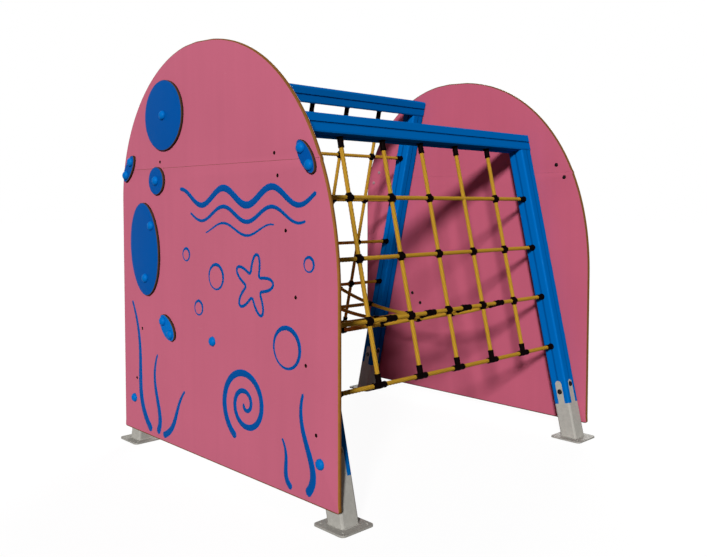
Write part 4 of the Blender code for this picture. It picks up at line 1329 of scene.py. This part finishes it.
@dataclass
class Feet:
    """Bolt heads and weld beads of the galvanised feet."""

    plane: Plane
    bolt_radius: float = 0.0135
    side_rise: float = 0.109
    end_rise: float = 0.070
    sunk: float = 0.0002
    bead_radius: float = 0.0032
    ripple: float = 0.00025
    ripple_pitch: float = 0.005

    def bolt_head(self) -> Surface:
        """A washer with a button head that has a six-sided socket."""
        rim = self.bolt_radius
        washer = [(0.0150, -0.0008), (0.0156, 0.0), (0.0156, 0.0010), (0.0150, 0.0016)]
        head = [(rim, 0.0019), (rim, 0.0046), (rim - 0.0008, 0.0056), (rim - 0.0030, 0.0064)]
        head += [(0.0074, 0.0067), (0.0062, 0.0066)]
        socket = turned([(0.0062, 0.0050), (0.0062, 0.0066), (0.0052, 0.0066), (0.0048, 0.0054)], 6)
        return joined([turned(washer + head, 32), socket])

    def build(self, end: str, way: int, bolt: Material, steel: Material) -> None:
        """The details of one foot.

        Args:
            end: Name of the end of the frame.
            way: -1 at the front and 1 at the rear.
            bolt: Finish of the bolt heads.
            steel: Finish of the weld bead.
        """
        up, outward = self.plane.up(), self.plane.outward()
        origin = self.plane.point(way * POST_Y, 0)
        head = self.bolt_head()
        heads = []
        sides = [(outward, self.side_rise), (-outward, self.side_rise), (-way * ALONG_Y, self.end_rise)]
        for direction, rise in sides:
            centre = origin + (FOOT_LENGTH + rise) * up + (SECTION / 2 - self.sunk) * direction
            heads.append(head.placed(axes_along(direction, up), centre))
        name = f"{end}_{self.plane.name}_foot"
        build_piece(f"{name}_bolt_heads", joined(heads), bolt)
        build_piece(f"{name}_weld", self.weld(origin), steel)

    def weld(self, origin: Array) -> Surface:
        """The bead round the tube where it meets the plate.

        Its path is the tube's rounded square where it leaves the plate, stretched by the lean. Its
        section is round, with a ripple along the bead.
        """
        turn = np.linspace(0, 2 * math.pi, 260, endpoint=False)
        power = 12
        reach = (np.abs(np.cos(turn)) ** power + np.abs(np.sin(turn)) ** power) ** (-1 / power)
        x = SECTION / 2 * reach * np.cos(turn) / math.cos(LEAN)
        lean_x = -self.plane.sign * math.tan(LEAN) * PLATE_THICKNESS
        level = np.full_like(x, PLATE_THICKNESS)
        path = origin + np.stack([x + lean_x, SECTION / 2 * reach * np.sin(turn), level], -1)
        up = np.tile(ALONG_Z, (len(path), 1))
        side = np.cross(up, chords(path))
        length = np.cumsum(np.linalg.norm(np.roll(path, -1, 0) - path, axis=1))
        radius = self.bead_radius + self.ripple * np.sin(length * 2 * math.pi / self.ripple_pitch)
        return carried(path, side, up, *circle(radius[:, None], all_round(10)), loop=True)


@dataclass(frozen=True)
class Lamp:
    """A far soft lamp, with the direction its light travels in and its width in degrees."""

    name: str
    direction: Triple
    strength: float
    width: float

    def on_floor(self) -> float:
        """Light that the lamp gives the floor."""
        return -self.direction[2] / float(np.linalg.norm(self.direction)) * self.strength / math.pi

    def build(self) -> None:
        """Put the lamp into the scene."""
        sun = bpy.data.lights.new(self.name, "SUN")
        sun.energy = self.strength
        sun.angle = math.radians(self.width)
        add_object(self.name, sun).rotation_euler = Vector(self.direction).to_track_quat("-Z", "Y").to_euler()


@dataclass
class Studio:
    """The floor, the light and the camera."""

    key: Lamp = Lamp("key", (-0.72, 1.0, -0.473), 3.78, 7.0)
    fill: Lamp = Lamp("fill", (0.62, -1.0, -0.42), 3.00, 30.0)
    sky: float = 0.085
    sky_tint: Colour = (1.0, 0.84, 0.80)
    white: Colour = (1.0, 1.0, 1.0)
    floor_half: float = 60.0
    floor_albedo: float = 0.12
    floor_shadow: float = 0.07
    focal_length: float = 39.64
    shift: Place = (0.0118, -0.0502)
    camera_place: Triple = (3.288, -3.211, 1.383)
    camera_turn: Triple = (math.pi / 2 - 0.0473, 0.0, 0.8141)

    def build_floor(self) -> None:
        """A wide floor that the camera sees as white with a pale shadow, and light meets as grey."""
        half = self.floor_half
        mesh = bpy.data.meshes.new("floor")
        corners = [(-half, -half, 0), (half, -half, 0), (half, half, 0), (-half, half, 0)]
        mesh.from_pydata(corners, [], [(0, 1, 2, 3)])
        floor = add_object("floor", mesh)
        nodes = Nodes("floor_white")
        grey, shade = (
            nodes.node("BsdfDiffuse", values={"Color": (albedo,) * 3}).outputs[0]
            for albedo in (self.floor_albedo, self.floor_shadow)
        )
        glow = nodes.node("Emission", values={"Color": self.white, "Strength": 1.01 - self.lit_floor()})
        white = nodes.node("AddShader", values={0: shade, 1: glow.outputs[0]})
        chosen = nodes.node("MixShader", values={0: nodes.seen(), 1: grey, 2: white.outputs[0]})
        nodes.node("OutputMaterial", values={"Surface": chosen.outputs[0]})
        mesh.materials.append(nodes.owner)

    def lit_floor(self) -> float:
        """Light that the floor's diffuse part sends to the camera where nothing shades it."""
        return self.floor_shadow * (self.key.on_floor() + self.fill.on_floor() + self.sky)

    def build_light(self) -> None:
        """A key lamp, a fill lamp for the far sides, and a world that looks white."""
        self.key.build()
        self.fill.build()
        nodes = Nodes("studio", world=True)
        seen = nodes.seen()
        strength = nodes.node("MapRange", values={"Value": seen, "To Min": self.sky, "To Max": 1.0})
        background = nodes.node("Background", values={
            "Color": nodes.mix(seen, self.sky_tint, self.white),
            "Strength": strength.outputs["Result"],
        })
        nodes.node("OutputWorld", values={"Surface": background.outputs[0]})
        bpy.context.scene.world = nodes.owner

    def build_camera(self) -> None:
        """The camera at the photograph's place."""
        data = bpy.data.cameras.new("camera")
        data.sensor_fit = "HORIZONTAL"
        data.sensor_width = 36.0
        data.lens = self.focal_length
        data.shift_x, data.shift_y = self.shift
        camera = add_object("camera", data)
        camera.location = self.camera_place
        camera.rotation_euler = self.camera_turn
        bpy.context.scene.camera = camera
        bpy.context.scene.view_settings.view_transform = "Standard"


def dress(name: str, finish: Material) -> None:
    """Give a CAD node its finish."""
    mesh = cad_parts[name].data
    mesh.materials.clear()
    mesh.materials.append(finish)
    log.info("%s: %s", name, finish.name)


def main() -> None:
    """Build the whole scene."""
    logging.basicConfig(level=logging.INFO, format="%(message)s")
    studio = Studio()
    studio.build_camera()
    studio.build_light()
    studio.build_floor()

    rub = (0.60, 0.45, 0.47)
    boards = {
        "front": BoardFinish("pink_board", Palette.PINK.value, rub).make(),
        # The rear panel's pink is the front pink with painted shade.
        "rear": BoardFinish("rear_pink_board", Palette.REAR_PINK.value, rub).make(),
    }
    blue, bright = (
        BoardFinish(name, skin, rub, Palette.BLUE_CORE.value, SPOT_SEAT, SPOT_FACE, 0.05, 0.85).make()
        for name, skin, rub in (
            ("blue_board", Palette.SPOT_BLUE.value, (0.03, 0.15, 0.42)),
            ("bright_blue_board", Palette.BRIGHT_BLUE.value, (0.05, 0.26, 0.60)),
        )
    )
    plug, stroke_paint, cap, black = (
        MouldedFinish(name, colour.value, rough, scuff, specular).make()
        for name, colour, rough, scuff, specular in (
            # The plugs' near-black colour paints the shade of the holes.
            ("hole_plug", Palette.SHADED_PLUG, 0.62, (0.012, 0.006, 0.006), 0.02),
            ("stroke_paint", Palette.STROKE_BLUE, 0.48, (0.02, 0.16, 0.42), 0.03),
            ("blue_cap", Palette.CAP_BLUE, 0.40, (0.02, 0.22, 0.56), 0.03),
            ("black_plastic", Palette.BLACK, 0.42, (0.016, 0.013, 0.012), 0.004),
        )
    )
    rope = RopeFinish("yellow_rope").make()
    galvanised = GalvanisedFinish("galvanised_steel").make()
    dark_bolt = BoltFinish("dark_bolts", Palette.BOLT.value, 0.4).make()
    zinc = BoltFinish("zinc_bolts", Palette.ZINC.value, 0.1, 0.25).make()
    post_paint = PaintFinish("post_paint").make()

    planes = (Plane("right", 1, 1.770, 4), Plane("left", -1, 2.074, 5))
    ends = (("front", -1), ("rear", 1))
    for end, facing in ends:
        panel = Panel(end, facing)
        panel.build_boards(boards[end])
        panel.build_spots(blue, bright)
        panel.build_plugs(plug)
        panel.build_caps(cap, dark_bolt, zinc)
        SeaPicture().build(end, facing, stroke_paint)
    for plane in planes:
        dress(f"{plane.name}_beam", PaintFinish(f"{plane.name}_beam_paint", plane.beam_line()).make())
        for end, facing in ends:
            dress(f"{end}_{plane.name}_post", post_paint)
            dress(f"{end}_{plane.name}_foot", galvanised)
            Feet(plane).build(end, facing, dark_bolt, galvanised)
    side_net(planes[0], [(3, 3)]).build(rope, black)
    side_net(planes[1], []).build(rope, black)
    bridge_net().build(rope, black)


if __name__ == "__main__":
    main()
